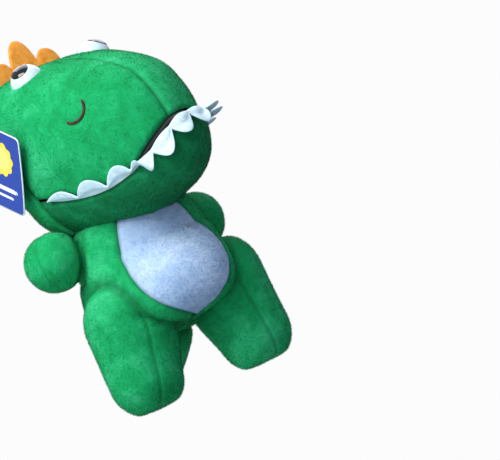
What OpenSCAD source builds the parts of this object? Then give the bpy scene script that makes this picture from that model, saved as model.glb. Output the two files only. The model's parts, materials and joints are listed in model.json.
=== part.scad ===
// Stuffed dinosaur standing on its two feet, millimetres, +Z up.
// It looks along -Y. Its right side is -X. The floor is z = 0 and x = 0 is its middle.

/* [Head] */
// Width of the head across the cheeks
head_w = 100; // [85:1:125]
// Height of the head from the chin to the crown
head_h = 106; // [90:1:125]
// Reach of the snout in front of the neck's middle
snout_len = 86; // [72:1:100]
// Reach of the back of the head behind the neck's middle
nape_len = 56; // [46:1:68]
// How far the lower jaw stands out beyond the snout
underbite = 5; // [2:0.5:7]
// Turn of the head towards the toy's left as it stands
head_turn = 10; // [0:1:20]

/* [Body] */
// Width of the torso
body_w = 84; // [75:1:104]
// Depth of the torso, from belly to back
body_d = 102; // [86:1:120]
// Height of the neck's centre above the underside of the torso
body_h = 49; // [42:1:58]
// Radius of the round neck that the head sits on
neck_r = 40; // [34:0.5:42]
// Height of the torso's underside above the floor
belly_clear = 36; // [30:1:44]

/* [Limbs] */
// Radius of a leg at the hip
hip_r = 25; // [19:0.5:27]
// Radius of a foot
foot_r = 20.5; // [17:0.5:24]
// Gap between a hip and the middle of the toy
hip_space = 4; // [3:0.5:9]
// Distance of a foot from the middle of the toy
foot_x = 35; // [31:0.5:42]
// Radius of an arm at the shoulder
shoulder_r = 12; // [9:0.5:13]
// Radius of a hand
hand_r = 16.5; // [13:0.5:18]
// Length of an arm, from the shoulder's centre to the hand's centre
arm_len = 18; // [14:0.5:21]
// Radius of the tail at its root
tail_root_r = 20; // [16:0.5:21]
// Radius of the tail's round tip
tail_tip_r = 13; // [10:0.5:15]
// Reach of the tail's tip centre behind the tail's root
tail_len = 40; // [36:1:52]
// Height of the tail's tip above the floor
tail_lift = 7; // [3:0.5:12]
// Depth of the flat that each foot rests on
sole_flat = 2.8; // [1.5:0.1:3.5]

/* [Fabric and felt] */
// Thickness of a velboa panel with its pile
skin_t = 2; // [1.5:0.1:3]
// Gap between the stuffing and the skin
fill_gap = 0.5; // [0.1:0.05:0.6]
// Gap between two bodies that turn on each other
joint_gap = 0.6; // [0.3:0.05:0.9]
// Thickness of the doubled orange felt
felt_t = 2.4; // [1.6:0.1:3.2]
// Height of the crest's middle lobe
crest_h = 21.5; // [14:0.5:24]
// Width of the crest
crest_w = 48; // [38:1:58]
// Height of the plates on the back
plate_h = 13; // [9:0.5:16]
// Height of a tooth
tooth_h = 10; // [7:0.5:13]
// Number of teeth
tooth_n = 11; // [9:2:13]
// Thickness of the tooth felt
tooth_t = 1.4; // [1:0.1:2]
// Thickness of the mouth's lining
lining_t = 1.2; // [0.8:0.1:2]

/* [Eyes and nostrils] */
// Diameter of an eye dome
eye_d = 20; // [16:0.5:24]
// Distance between the eyes' centres
eye_gap = 46; // [36:1:52]
// Diameter of a pupil
pupil_d = 11; // [8:0.5:14]
// Diameter of the shank behind an eye
shank_d = 4.4; // [3.5:0.1:6]
// Diameter of a lock washer
washer_d = 15; // [12:0.5:18]
// Radius of a nostril's crescent
nostril_r = 7.5; // [5:0.5:9]
// Thickness of a nostril's thread
nostril_t = 2; // [1.4:0.1:3]

/* [Hanging gear] */
// Width of the ribbon
ribbon_w = 3; // [2.5:0.1:4.5]
// Thickness of the ribbon
ribbon_t = 1; // [0.6:0.1:1.4]
// Diameter of the suction cup
cup_d = 36; // [30:1:42]
// Height of the suction cup's bell
cup_h = 8; // [6:0.5:10]
// Wall of the suction cup at its neck
cup_wall = 2; // [1.4:0.1:3]
// Diameter of the suction cup's knob
knob_d = 8; // [7:0.5:9]
// Width of the card tag
tag_w = 34; // [28:1:40]
// Height of the card tag
tag_h = 47; // [38:1:54]
// Thickness of the card tag
tag_t = 0.8; // [0.5:0.1:1.5]
// Diameter of the hole in the card tag
tag_hole_d = 3.2; // [2.6:0.1:4]
// Width of the care label
label_w = 32; // [26:1:38]
// Length of the care label
label_l = 37; // [30:1:44]
// Thickness of the care label
label_t = 0.8; // [0.5:0.1:1.2]

/* [Hidden] */

velboa = "#20b56e";
velboa_dark = "#0a7848";
felt_orange = "#eca353";
felt_white = "#eef4fa";
fill_white = "#e8e8e4";

// Named places
neck = [0, 5, belly_clear + body_h];
head_base = neck.z + 13;
hip = [hip_r + hip_space, -8, belly_clear + 16];
foot = [foot_x, -6, foot_r - sole_flat];
// The hands stay under the head: lower where they are bigger, or the head is wider than the neck
shoulder_drop = hand_r + 0.4 * (head_w / 2 - neck_r);
shoulder = [neck_r - 4.5, 17, neck.z + neck_r - 10 - shoulder_drop];
tail_root = [0, body_d * 0.5 - 15, belly_clear + 7];
tail_tip = [0, tail_root.y + tail_len, tail_tip_r + tail_lift];
tail_axis = tail_tip - tail_root;

// ---- Curves and grids ----
function mix(a, b, t) = a + (b - a) * t;
function power(v, e) = sign(v) * pow(abs(v), e);
function ease(t) = t <= 0 ? 0 : t >= 1 ? 1 : t * t * (3 - 2 * t);

// A smooth curve through the rows of a list, at place s counted in rows
function row(list, i) = list[max(0, min(len(list) - 1, i))];
function spline(list, s) =
    let (i = floor(min(s, len(list) - 1.0001)), t = s - i)
    let (a = row(list, i - 1), b = row(list, i), c = row(list, i + 1), d = row(list, i + 2))
    0.5 * (2 * b + (c - a) * t + (2 * a - 5 * b + 4 * c - d) * t * t
           + (3 * b - a - 3 * c + d) * t * t * t);

// Faces of a closed block between an outer grid and an inner grid of m by n points
function block_faces(m, n) =
    let (k = m * n)
    concat(
        [for (i = [0 : m - 2]) for (j = [0 : n - 2])
            [i * n + j, i * n + j + 1, (i + 1) * n + j + 1, (i + 1) * n + j]],
        [for (i = [0 : m - 2]) for (j = [0 : n - 2])
            [k + (i + 1) * n + j, k + (i + 1) * n + j + 1, k + i * n + j + 1, k + i * n + j]],
        [for (j = [0 : n - 2]) [k + j, k + j + 1, j + 1, j]],
        [for (j = [0 : n - 2])
            [(m - 1) * n + j, (m - 1) * n + j + 1, k + (m - 1) * n + j + 1, k + (m - 1) * n + j]],
        [for (i = [0 : m - 2]) [i * n, (i + 1) * n, k + (i + 1) * n, k + i * n]],
        [for (i = [0 : m - 2])
            [k + i * n + n - 1, k + (i + 1) * n + n - 1, (i + 1) * n + n - 1, i * n + n - 1]]);

module block(outer, inner)
    polyhedron(concat([for (r = outer) each r], [for (r = inner) each r]),
               block_faces(len(outer), len(outer[0])), convexity = 6);

// A closed solid from a list of rings, with a point at each end
module lofted(rings, first, last) {
    m = len(rings);
    n = len(rings[0]);
    points = concat([first], [for (r = rings) each r], [last]);
    faces = concat(
        [for (j = [0 : n - 1]) [0, 1 + (j + 1) % n, 1 + j]],
        [for (i = [0 : m - 2]) for (j = [0 : n - 1])
            [1 + i * n + j, 1 + i * n + (j + 1) % n, 1 + (i + 1) * n + (j + 1) % n,
             1 + (i + 1) * n + j]],
        [for (j = [0 : n - 1]) [1 + m * n, 1 + (m - 1) * n + j, 1 + (m - 1) * n + (j + 1) % n]]);
    polyhedron(points, faces, convexity = 6);
}

// ---- The head's surface ----
// Rings from the crown to the chin: height, half width, snout reach, nape reach and the
// place of the crest seam, as shares of the head's height, half width and two reaches
head_rows = [[1.004, 0.00, -0.30, 0.46, 0.46],
             [1.000, 0.28, -0.16, 0.66, 0.46],
             [0.975, 0.54, 0.04, 0.79, 0.43],
             [0.912, 0.75, 0.33, 0.88, 0.38],
             [0.808, 0.90, 0.62, 0.95, 0.32],
             [0.685, 0.98, 0.84, 0.99, 0.21],
             [0.555, 1.00, 0.94, 0.97, 0.12],
             [0.435, 0.99, 0.98, 0.88, 0.05],
             [0.330, 0.94, 1.00, 0.78, 0.02],
             [0.226, 0.88, 0.98, 0.68, 0.02],
             [0.130, 0.74, 0.94, 0.55, 0.03],
             [0.055, 0.54, 0.80, 0.40, 0.04],
             [0.005, 0.30, 0.48, 0.22, 0.05]];
head_round = 0.96;
head_mid = [0, neck.y - 13, head_base + head_h * 0.49];

function head_raw(th, s) =
    let (q = spline(head_rows, s))
    let (yc = neck.y + q[4] * nape_len)
    let (front = neck.y - q[2] * snout_len, back = neck.y + q[3] * nape_len)
    let (reach = cos(th) >= 0 ? yc - front : back - yc)
    [head_w / 2 * q[1] * power(sin(th), head_round),
     yc - reach * power(cos(th), head_round),
     head_base + head_h * q[0]];

// The same surface, inset by d towards the head's middle
function inset_head(p, d) =
    head_mid + [(p.x - head_mid.x) * (1 - d / (head_w / 2)),
                (p.y - head_mid.y) * (1 - d / (snout_len * 0.8)),
                (p.z - head_mid.z) * (1 - d / (head_h / 2))];
function head_at(th, s, d) = inset_head(head_raw(th, s), d);

// The mouth line: the ring where it runs, every 15 degrees from the front, and how far the
// soft cheek lets it sag on the right and rise on the left
mouth_rows = [[7.82], [8.05], [8.45], [8.68], [8.73], [8.5], [8.1]];
mouth_sag = 0.7;
function mouth_s(th) =
    spline(mouth_rows, min(90, abs(th)) / 15)[0] - (abs(th) < 90 ? mouth_sag * sin(2 * th) : 0);
function bite(th) = underbite * pow(max(0, cos(th)), 2);
function jaw_at(th, s, d) =
    let (p = head_at(th, s, d), fade = 1 - ease((s - 10) / 2))
    p + bite(th) * fade * [0.35 * sin(th), -cos(th), 0];

// The ring where the jaw, or the nape, meets the neck's socket
socket_r = neck_r + joint_gap;
function below(th, s, d) = norm((abs(th) < 90 ? jaw_at(th, s, d) : head_at(th, s, d)) - neck)
                           - socket_r;
function bisect(th, d, lo, hi, n) =
    let (m = (lo + hi) / 2)
    n == 0 ? m : below(th, m, d) > 0 ? bisect(th, d, m, hi, n - 1) : bisect(th, d, lo, m, n - 1);
function neck_s(th, d) = bisect(th, d, 9.5, 12, 14);

// ---- The torso's surface ----
// Rings below the neck: height above the underside, half width, belly reach and back reach
body_rows = [[1.000, 0.920, 0.686, 0.882],
             [0.800, 0.965, 0.863, 0.940],
             [0.600, 1.000, 0.970, 0.980],
             [0.400, 0.990, 1.000, 1.000],
             [0.210, 0.900, 0.950, 0.950],
             [0.080, 0.700, 0.780, 0.780],
             [0.012, 0.360, 0.420, 0.420],
             [0.000, 0.000, 0.000, 0.000]];
body_mid = [0, 2, belly_clear + body_h * 0.55];
body_round = 0.92;

// Rings 0 to 1 are the neck's sphere from its top to its middle, and the rest the rows above
function body_raw(th, s) =
    s <= 1
    ? neck + neck_r * [sin(90 * s) * sin(th), -sin(90 * s) * cos(th), cos(90 * s)]
    : let (q = spline(body_rows, s - 1), k = ease((s - 1) / 0.5))
      let (yc = mix(neck.y, body_mid.y * q[2], k), e = mix(1, body_round, k))
      let (belly = yc + q[2] * body_d / 2, back = q[3] * body_d / 2 - yc)
      let (reach = mix(neck_r, cos(th) >= 0 ? belly : back, k))
      [mix(neck_r, body_w / 2 * q[1], k) * power(sin(th), e),
       yc - reach * power(cos(th), e),
       belly_clear + body_h * q[0]];

// The same surface, inset by d towards the torso's middle
function inset_body(p, d) =
    let (rise = p.z > body_mid.z ? neck.z + neck_r - body_mid.z : body_mid.z - belly_clear)
    body_mid + [(p.x - body_mid.x) * (1 - d / (body_w / 2)),
                (p.y - body_mid.y) * (1 - d / (body_d / 2)),
                (p.z - body_mid.z) * (1 - d / rise)];
function body_at(th, s, d) = inset_body(body_raw(th, s), d);

// Half the angle that the belly panel covers, ring by ring
belly_rows = [[12], [38], [43], [42], [38], [30], [18], [0]];
function belly_half(s) = max(0, spline(belly_rows, s)[0]);

// ---- Helpers for placing ----
function unit(v) = v / norm(v);
// The ways the arms point: the right one out and forwards, the left one folded back
arm_out = unit([0.74, -0.6, 0.2]);
arm_back = unit([0.66, 0.72, -0.2]);

// Puts local Z along d at the point p, with local X as near to front as it can be
module along(p, d, front) {
    ez = unit(d);
    ex = unit(front - (front * ez) * ez);
    ey = cross(ez, ex);
    multmatrix([[ex.x, ey.x, ez.x, p.x], [ex.y, ey.y, ez.y, p.y], [ex.z, ey.z, ez.z, p.z]])
        children();
}
module in_head() translate(neck) rotate([0, 0, head_turn]) translate(-neck) children();
module left_side() children();
module right_side() mirror([1, 0, 0]) children();
module above_floor() {
    difference() {
        children();
        translate([-150, -150, -60]) cube([300, 300, 60]);
    }
}

// ---- Head ----
head_fill_inset = skin_t + fill_gap;
lip = (lining_t / 2 + 0.1) / (head_h * 0.105);
seam_top = 0.2;
crown_steps = 12;
cheek_steps = 12;

function crown_grid(th0, th1, d) =
    [for (i = [0 : crown_steps]) let (u = i / crown_steps)
        [for (j = [0 : cheek_steps]) let (th = mix(th0, th1, j / cheek_steps))
            head_at(th, mix(seam_top, mouth_s(th) - lip, u), d)]];

module head_panel(th0, th1) {
    color(velboa)
        in_head() block(crown_grid(th0, th1, 0), crown_grid(th0, th1, skin_t));
}

back_steps = 18;
function nape_grid(d) =
    [for (i = [0 : 18]) let (u = i / 18)
        [for (j = [0 : back_steps]) let (th = mix(90, 270, j / back_steps))
            head_at(th, mix(seam_top, neck_s(th, d), u), d)]];

module head_panel_back() {
    color(velboa) in_head() block(nape_grid(0), nape_grid(skin_t));
}

jaw_steps = 30;
function jaw_grid(d) =
    [for (i = [0 : 7]) let (u = i / 7)
        [for (j = [0 : jaw_steps]) let (th = mix(-90, 90, j / jaw_steps))
            jaw_at(th, mix(mouth_s(th) + lip, neck_s(th, d), u), d)]];

module jaw_panel() {
    color(velboa_dark) in_head() block(jaw_grid(0), jaw_grid(skin_t));
}

// A point on the mouth's plane, r outside the snout's skin, or inside it where r is below 0
function mouth_at(th, r, up) =
    head_at(th, mouth_s(th), max(0, -r)) + max(0, r) * [0.35 * sin(th), -cos(th), 0] + [0, 0, up];
lining_in = 8;
lining_out = 0.8;
function lining_grid(up) =
    [for (r = [1, 0.5, 0])
        [for (j = [0 : 30]) let (th = mix(-84, 84, j / 30))
            mouth_at(th, mix(bite(th) + lining_out, -lining_in, r), up)]];

module mouth_lining() {
    color("#1b1c1e") in_head() block(lining_grid(0.45 * lining_t), lining_grid(-0.45 * lining_t));
}

// How far a tooth has flopped from the snout's side (low) over the jaw (high), by its place
function flop(th) =
    th < 0 ? mix(26, 148, ease((th + 40) / 14)) : mix(148, 84, ease((th - 14) / 14));
tooth_samples = 6;
tooth_span = 84;
function tooth_reach(w) =
    tooth_h * (0.2 + 0.8 * pow(abs(sin(180 * w)), 0.7)) * (0.55 + 0.45 * ease(min(w, tooth_n - w)));
function strip_row(w, side) =
    let (th = mix(-tooth_span, tooth_span, w / tooth_n), b = flop(th), out = bite(th) + lining_out)
    let (away = unit([0.9 * sin(th), -cos(th), 0]), up = [0, 0, 1])
    let (root = mouth_at(th, out, 0), fold = mouth_at(th, out + tooth_t, 0))
    let (run = cos(b) * up + sin(b) * away, face = cos(b) * away - sin(b) * up)
    let (half = side * tooth_t / 2)
    [root - half * up, fold + half * unit(face - up),
     fold + 0.5 * tooth_reach(w) * run + half * face, fold + tooth_reach(w) * run + half * face];

module teeth_strip() {
    rows = tooth_n * tooth_samples;
    color(felt_white)
        in_head()
            block([for (i = [0 : rows]) strip_row(i / tooth_samples, 1)],
                  [for (i = [0 : rows]) strip_row(i / tooth_samples, -1)]);
}

crest_y = neck.y + head_rows[1][4] * nape_len;
crown_z = head_base + head_h;
crest_sunk = 1.2;
lobe_w = crest_w / 3;
function lobe(x, c, w, h) = h * sqrt(max(0, 1 - pow(abs((x - c) / w), 2.2)));
function crest_top(x) =
    max(0.24 * crest_h * (1 - pow(abs(2 * x / crest_w), 6)), lobe(x, 0, lobe_w * 0.56, crest_h),
        lobe(x, lobe_w, lobe_w * 0.5, crest_h * 0.6), lobe(x, -lobe_w, lobe_w * 0.5, crest_h * 0.6));
function crown_at(x) = crown_z - head_h * 0.028 * pow(2 * x / (head_w * 0.54), 2);

module head_crest() {
    top = [for (i = [0 : 48]) let (x = mix(-crest_w / 2, crest_w / 2, i / 48))
              [x, crown_at(x) + crest_top(x)]];
    foot_line = [for (i = [0 : 8]) let (x = mix(crest_w / 2, -crest_w / 2, i / 8))
                    [x, crown_at(x) - crest_sunk]];
    color(felt_orange)
        in_head()
            translate([0, crest_y, 0]) rotate([90, 0, 0])
                linear_extrude(felt_t, center = true) polygon(concat(top, foot_line));
}

nostril_place = head_raw(44, 5.4);
nostril_facing = unit([0.7, -0.68, 0.2]);
module nostril() {
    color("#2a2a28")
        along(nostril_place, nostril_facing, [0, 0, -1])
            rotate([0, 0, -65])
                rotate_extrude(angle = 170, $fn = 48)
                    translate([nostril_r, 0]) circle(d = nostril_t, $fn = 16);
}

// ---- Eyes ----
eye_tilt = [0.5, -0.36, 0.79];
eye_seat = [eye_gap / 2, neck.y - 6.5, crown_z - 9];
shank_l = 12;
washer_t = 2;
washer_depth = 5;
module at_eye() along(eye_seat, eye_tilt, [0, -1, 0]) children();
module eye_dome() {
    color("#eef3f6") {
        intersection() {
            sphere(d = eye_d, $fn = 64);
            translate([-eye_d, -eye_d, 0]) cube([2 * eye_d, 2 * eye_d, eye_d]);
        }
        translate([0, 0, -shank_l]) cylinder(d = shank_d, h = shank_l + 1, $fn = 32);
    }
}
pupil_t = 0.4;
module pupil() {
    color("#14181a")
        difference() {
            intersection() {
                sphere(d = eye_d + 2 * pupil_t, $fn = 64);
                cylinder(d = pupil_d, h = eye_d, $fn = 48);
            }
            sphere(d = eye_d, $fn = 64);
        }
}
module eye_washer() {
    color("#d8dadb")
        translate([0, 0, -washer_depth - washer_t])
            difference() {
                cylinder(d = washer_d, h = washer_t, $fn = 48);
                translate([0, 0, -1]) cylinder(d = shank_d, h = washer_t + 2, $fn = 32);
            }
}

// ---- Head stuffing ----
fill_turns = 40;
function fill_ring(u, low) =
    [for (j = [0 : fill_turns - 1]) let (th = 360 * j / fill_turns, w = th > 180 ? th - 360 : th)
        low ? jaw_at(w, mix(mouth_s(w) + lip, neck_s(w, head_fill_inset), u), head_fill_inset)
            : head_at(w, mix(0, mouth_s(w) - lip, u), head_fill_inset)];
function socket_ring(u) =
    [for (j = [0 : fill_turns - 1]) let (th = 360 * j / fill_turns, w = th > 180 ? th - 360 : th)
        let (rim = jaw_at(w, neck_s(w, head_fill_inset), head_fill_inset) - neck)
        let (a = acos(rim.z / norm(rim)) * (1 - u), flat = unit([rim.x, rim.y, 0]))
        neck + socket_r * (sin(a) * flat + [0, 0, cos(a)])];

module head_stuffing() {
    crown = [for (u = [0.04, 0.11, 0.2, 0.3, 0.4, 0.5, 0.6, 0.7, 0.8, 0.9, 1]) fill_ring(u, false)];
    jaw = [for (u = [0, 0.2, 0.4, 0.6, 0.8, 1]) fill_ring(u, true)];
    socket = [for (u = [0.1 : 0.1 : 0.9]) socket_ring(u)];
    color(fill_white)
        in_head()
            lofted(concat(crown, jaw, socket), head_at(180, 0, head_fill_inset), neck + [0, 0, socket_r]);
}

// ---- Ribbon and suction cup ----
cup_axis = unit([0, 0.87, -0.48]);
cup_up = unit([0, 0.48, 0.87]);
knob_h = 4.5;
cup_neck_d = 6;
cup_neck_h = 3.4;
knob_place = [0, neck.y + nape_len + 3, head_base + head_h * 0.83];
loop_mid = knob_place + cup_axis * (knob_h + cup_neck_h / 2);
loop_r = 6;

// Route of the ribbon: down one side of the knob, round its neck and up the other side.
// Each row is a point and how far the ribbon has twisted there
strand = [[2.2, 36, 206.2, 0], [2.4, 41, 205.8, 0], [2.8, 47, 204, 0], [3.6, 54, 201, 0],
          [4.6, 61, 196.5, 15], [5.6, 67, 193, 45], [6, 70, 190.5, 80]];
ribbon_points = concat(
    [for (p = strand) [-p.x, p.y, p.z]],
    [for (a = [0 : 30 : 180]) loop_mid - loop_r * (cos(a) * [1, 0, 0] + sin(a) * cup_up)],
    [for (i = [len(strand) - 1 : -1 : 0]) [strand[i].x, strand[i].y, strand[i].z]]);
ribbon_twist = concat([for (p = strand) p[3]], [for (a = [0 : 30 : 180]) 90],
                      [for (i = [len(strand) - 1 : -1 : 0]) 180 - strand[i][3]]);
ribbon_last = len(ribbon_points) - 1;
function ribbon_at(s) = spline(ribbon_points, s);
function ribbon_ring(s) =
    let (p = ribbon_at(s), run = unit(ribbon_at(min(ribbon_last, s + 0.05)) - ribbon_at(max(0, s - 0.05))))
    let (t = spline([for (a = ribbon_twist) [a]], s)[0], wish = cos(t) * [1, 0, 0] + sin(t) * cup_axis)
    let (wide = unit(wish - (wish * run) * run), thin = cross(run, wide))
    [for (a = [337.5 : -45 : 0])
        p + ribbon_w / 2 * cos(a) / cos(22.5) * wide + ribbon_t / 2 * sin(a) / sin(67.5) * thin];

module hang_ribbon() {
    rings = [for (i = [0 : 56]) ribbon_ring(ribbon_last * i / 56)];
    color("#f2f5f8") in_head() lofted(rings, ribbon_at(0), ribbon_at(ribbon_last));
}

rim_wall = 0.9;
function bell(u, r0, r1, h, z0) = [mix(r0, r1, pow(u, 0.8)), z0 + h * pow(u, 1.7)];
module suction_cup() {
    z0 = knob_h + cup_neck_h;
    knob_side = [[0, 0], [knob_d / 2 - 1, 0], [knob_d / 2, 1], [knob_d / 2, knob_h - 1],
                 [knob_d / 2 - 1, knob_h], [cup_neck_d / 2, knob_h], [cup_neck_d / 2, z0]];
    outside = [for (i = [1 : 8]) bell(i / 8, cup_neck_d / 2, cup_d / 2, cup_h, z0)];
    inside = [for (i = [8 : -1 : 0]) bell(i / 8, 0, cup_d / 2 - rim_wall, cup_h - cup_wall, z0 + cup_wall)];
    color([0.85, 0.92, 0.95, 0.5])
        in_head()
            along(knob_place, cup_axis, cup_up)
                rotate_extrude($fn = 64) polygon(concat(knob_side, outside, inside));
}

// ---- Card tag and its nylon loop ----
tag_gap = 4.5;
tag_plane = [-(head_w / 2 + tag_gap), neck.y - 22, head_base + head_h * 0.632];
tag_down = [0, 0.6, -0.8];
tag_along = [0, 0.8, 0.6];
tag_edge = 4;
tag_hole = tag_plane + tag_down * tag_edge + tag_along * (tag_w - tag_edge - 2);
nylon_d = 1;
nylon_r = 7;
module hang_tag() {
    color("#1e3e9b")
        in_head()
            multmatrix([[0, 0, 1, tag_plane.x],
                        [tag_down.y, tag_along.y, 0, tag_plane.y],
                        [tag_down.z, tag_along.z, 0, tag_plane.z]])
                linear_extrude(tag_t, center = true)
                    difference() {
                        square([tag_h, tag_w]);
                        translate([tag_edge, tag_w - tag_edge - 2]) circle(d = tag_hole_d, $fn = 32);
                    }
}
module tag_fastener() {
    color("#f4f6f6")
        in_head()
            translate(tag_hole + [2.2, sqrt(nylon_r * nylon_r - 4.84), 0])
                rotate_extrude($fn = 48) translate([nylon_r, 0]) circle(d = nylon_d, $fn = 16);
}

// ---- Torso ----
neck_seam = 0.5;
// Rings of a panel, close together round the neck and wider apart below it
function panel_rings(low) = concat([for (s = [neck_seam : 0.1 : 1.6]) s], [for (i = [1 : 15]) mix(1.6, low, i / 15)]);
function belly_grid(d) =
    [for (s = panel_rings(6.4))
        [for (j = [0 : 12]) body_at(mix(-1, 1, j / 12) * belly_half(s), s, d)]];
function side_grid(d) =
    [for (s = panel_rings(7.9))
        [for (j = [0 : 18]) body_at(mix(belly_half(s), 180, j / 18), s, d)]];

// Room for the limbs where they are sewn on, over all of their travel
hip_play = 2.2;
shoulder_play = 1.2;
tail_play = 1.2;
module hip_socket() {
    translate(hip) {
        sphere(r = hip_r + hip_play, $fn = 64);
        for (a = [-15, 0, 15])
            rotate([a, 0, 0])
                translate(0.35 * (foot - hip)) sphere(r = mix(hip_r, foot_r, 0.35) + hip_play, $fn = 64);
    }
}
module tail_socket() translate(tail_root) sphere(r = tail_root_r + tail_play, $fn = 64);
module arm_socket(way, sense) {
    translate(shoulder) {
        sphere(r = shoulder_r + shoulder_play, $fn = 64);
        for (a = [0, 20, 40, 60])
            rotate([0, 0, sense * a])
                translate(arm_len / 2 * way) sphere(r = (shoulder_r + hand_r) / 2 + shoulder_play, $fn = 64);
        for (a = [0, 15, 30])
            rotate([0, 0, sense * a])
                translate(arm_len * way) sphere(r = hand_r + shoulder_play, $fn = 64);
    }
}

module belly_panel() {
    color("#eaf0f8")
        difference() {
            block(belly_grid(0), belly_grid(skin_t));
            left_side() hip_socket();
            right_side() hip_socket();
        }
}
module side_panel(way, sense) {
    color(velboa)
        difference() {
            block(side_grid(0), side_grid(skin_t));
            hip_socket();
            arm_socket(way, sense);
            tail_socket();
        }
}
module body_stuffing() {
    rings = [for (s = concat([for (s = [0.1 : 0.1 : 1.6]) s], [for (s = [1.8 : 0.4 : 7.8]) s]))
                [for (j = [0 : 39]) body_at(9 * j, s, skin_t + fill_gap)]];
    color(fill_white)
        difference() {
            lofted(rings, body_at(0, 0, skin_t + fill_gap), body_at(0, 8, skin_t + fill_gap));
            left_side() hip_socket();
            right_side() hip_socket();
            left_side() arm_socket(arm_back, -1);
            right_side() arm_socket(arm_out, 1);
            tail_socket();
        }
}

// Scalloped felt along a line of points, with the outward way at each point
function scallop(u, n) = 0.3 + 0.7 * pow(abs(sin(180 * n * u)), 0.6);
plate_sunk = 1.2;
back_lobes = 3;
back_top_s = 0.74;
back_low_s = 2.75;
function back_line(u) = body_raw(180, mix(back_top_s, back_low_s, u));
function back_out(u) = unit(back_line(u) - [0, body_mid.y, back_line(u).z - 0.25 * (back_line(u).z - body_mid.z)]);
module spine_plates() {
    outer = [for (i = [0 : 48]) let (u = i / 48)
                back_line(u) + back_out(u) * plate_h * scallop(u, back_lobes) * (0.5 + 0.5 * ease(6 * min(u, 1 - u)))];
    inner = [for (i = [16 : -1 : 0]) let (u = i / 16) back_line(u) - back_out(u) * plate_sunk];
    color(felt_orange)
        rotate([90, 0, 90])
            linear_extrude(felt_t, center = true) polygon([for (p = concat(outer, inner)) [p.y, p.z]]);
}

label_place = [7.5, body_d / 2 - 0.3, belly_clear + body_h * 0.49];
label_out = [0.55, 0.4, -0.73];
module care_label() {
    color("#dde6f0")
        along(label_place, [0.1, 0, 1], label_out)
            translate([0, -label_t / 2, 0]) cube([label_l, label_t, label_w]);
}

// ---- Limbs ----
// Outline of a limb from its round root, radius r0, to its round end, radius r1
function limb_side(r0, r1, l) =
    let (b = acos((r0 - r1) / l))
    concat([for (i = [0 : 7]) let (a = mix(180, b, i / 7)) [r0 * sin(a), r0 * cos(a)]],
           [for (i = [0 : 7]) let (a = mix(b, 0, i / 7)) [r1 * sin(a), l + r1 * cos(a)]]);
function turned_round(list) = [for (i = [len(list) - 1 : -1 : 0]) list[i]];

module limb_skin(r0, r1, l, start) {
    rotate([0, 0, start])
        rotate_extrude(angle = 180, $fn = 64)
            polygon(concat(limb_side(r0, r1, l),
                           turned_round(limb_side(r0 - skin_t, r1 - skin_t, l))));
}
module limb_fill(r0, r1, l) {
    d = skin_t + fill_gap;
    rotate_extrude($fn = 64) polygon(limb_side(r0 - d, r1 - d, l));
}

module at_shoulder(way) along(shoulder, way, [0, 0, 1]) children();
module arm_panel(way, start)
    color(velboa) at_shoulder(way) limb_skin(shoulder_r, hand_r, arm_len, start);
module arm_stuffing(way) color(fill_white) at_shoulder(way) limb_fill(shoulder_r, hand_r, arm_len);

module at_hip() along(hip, foot - hip, [0, -1, 0]) children();
leg_l = norm(foot - hip);
module leg_panel(start) color(velboa) above_floor() at_hip() limb_skin(hip_r, foot_r, leg_l, start);
module leg_stuffing() color(fill_white) above_floor() at_hip() limb_fill(hip_r, foot_r, leg_l);

module at_tail() along(tail_root, tail_axis, [0, 0, 1]) children();
tail_l = norm(tail_axis);
module tail_panel(start) color(velboa) at_tail() limb_skin(tail_root_r, tail_tip_r, tail_l, start);
module tail_stuffing() color(fill_white) at_tail() limb_fill(tail_root_r, tail_tip_r, tail_l);

tail_lobes = 3;
tail_plates_from = 13;
tail_plate_h = plate_h * 0.85;
module tail_plates() {
    b = acos((tail_root_r - tail_tip_r) / tail_l);
    straight = tail_l + tail_tip_r * cos(b) - tail_plates_from;
    // The line runs straight down the tail's top and then round its tip
    line = concat([for (i = [0 : 10]) let (z = tail_plates_from + straight * i / 10)
                      [(tail_root_r - z * cos(b)) / sin(b), z, b]],
                  [for (i = [1 : 6]) let (a = mix(b, 62, i / 6))
                      [tail_tip_r * sin(a), tail_l + tail_tip_r * cos(a), a]]);
    n = len(line) - 1;
    outer = [for (i = [0 : 4 * n]) let (q = spline(line, i / 4), u = i / (4 * n))
                let (h = tail_plate_h * scallop(u, tail_lobes) * (0.5 + 0.5 * ease(6 * min(u, 1 - u))))
                [q[0] + h * sin(q[2]), q[1] + h * cos(q[2])]];
    inner = [for (i = [n : -1 : 0]) [line[i][0] - plate_sunk * sin(line[i][2]),
                                     line[i][1] - plate_sunk * cos(line[i][2])]];
    color(felt_orange)
        at_tail()
            rotate([90, 0, 0]) linear_extrude(felt_t, center = true) polygon(concat(outer, inner));
}

// ---- Drawing ----
head_panel(-90, 0);  // head_panel_right
head_panel(0, 90);  // head_panel_left
head_panel_back();
jaw_panel();
mouth_lining();
teeth_strip();
head_crest();
in_head() right_side() nostril();  // nostril_right
in_head() left_side() nostril();  // nostril_left
in_head() right_side() at_eye() eye_dome();  // eye_dome_right
in_head() left_side() at_eye() eye_dome();  // eye_dome_left
in_head() right_side() at_eye() pupil();  // pupil_right
in_head() left_side() at_eye() pupil();  // pupil_left
in_head() right_side() at_eye() eye_washer();  // eye_washer_right
in_head() left_side() at_eye() eye_washer();  // eye_washer_left
head_stuffing();
hang_ribbon();
suction_cup();
hang_tag();
tag_fastener();
belly_panel();
right_side() side_panel(arm_out, 1);  // side_panel_right
left_side() side_panel(arm_back, -1);  // side_panel_left
body_stuffing();
spine_plates();
care_label();
right_side() arm_panel(arm_out, 0);  // arm_panel_front_right
right_side() arm_panel(arm_out, 180);  // arm_panel_back_right
right_side() arm_stuffing(arm_out);  // arm_stuffing_right
left_side() arm_panel(arm_back, 0);  // arm_panel_front_left
left_side() arm_panel(arm_back, 180);  // arm_panel_back_left
left_side() arm_stuffing(arm_back);  // arm_stuffing_left
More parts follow.
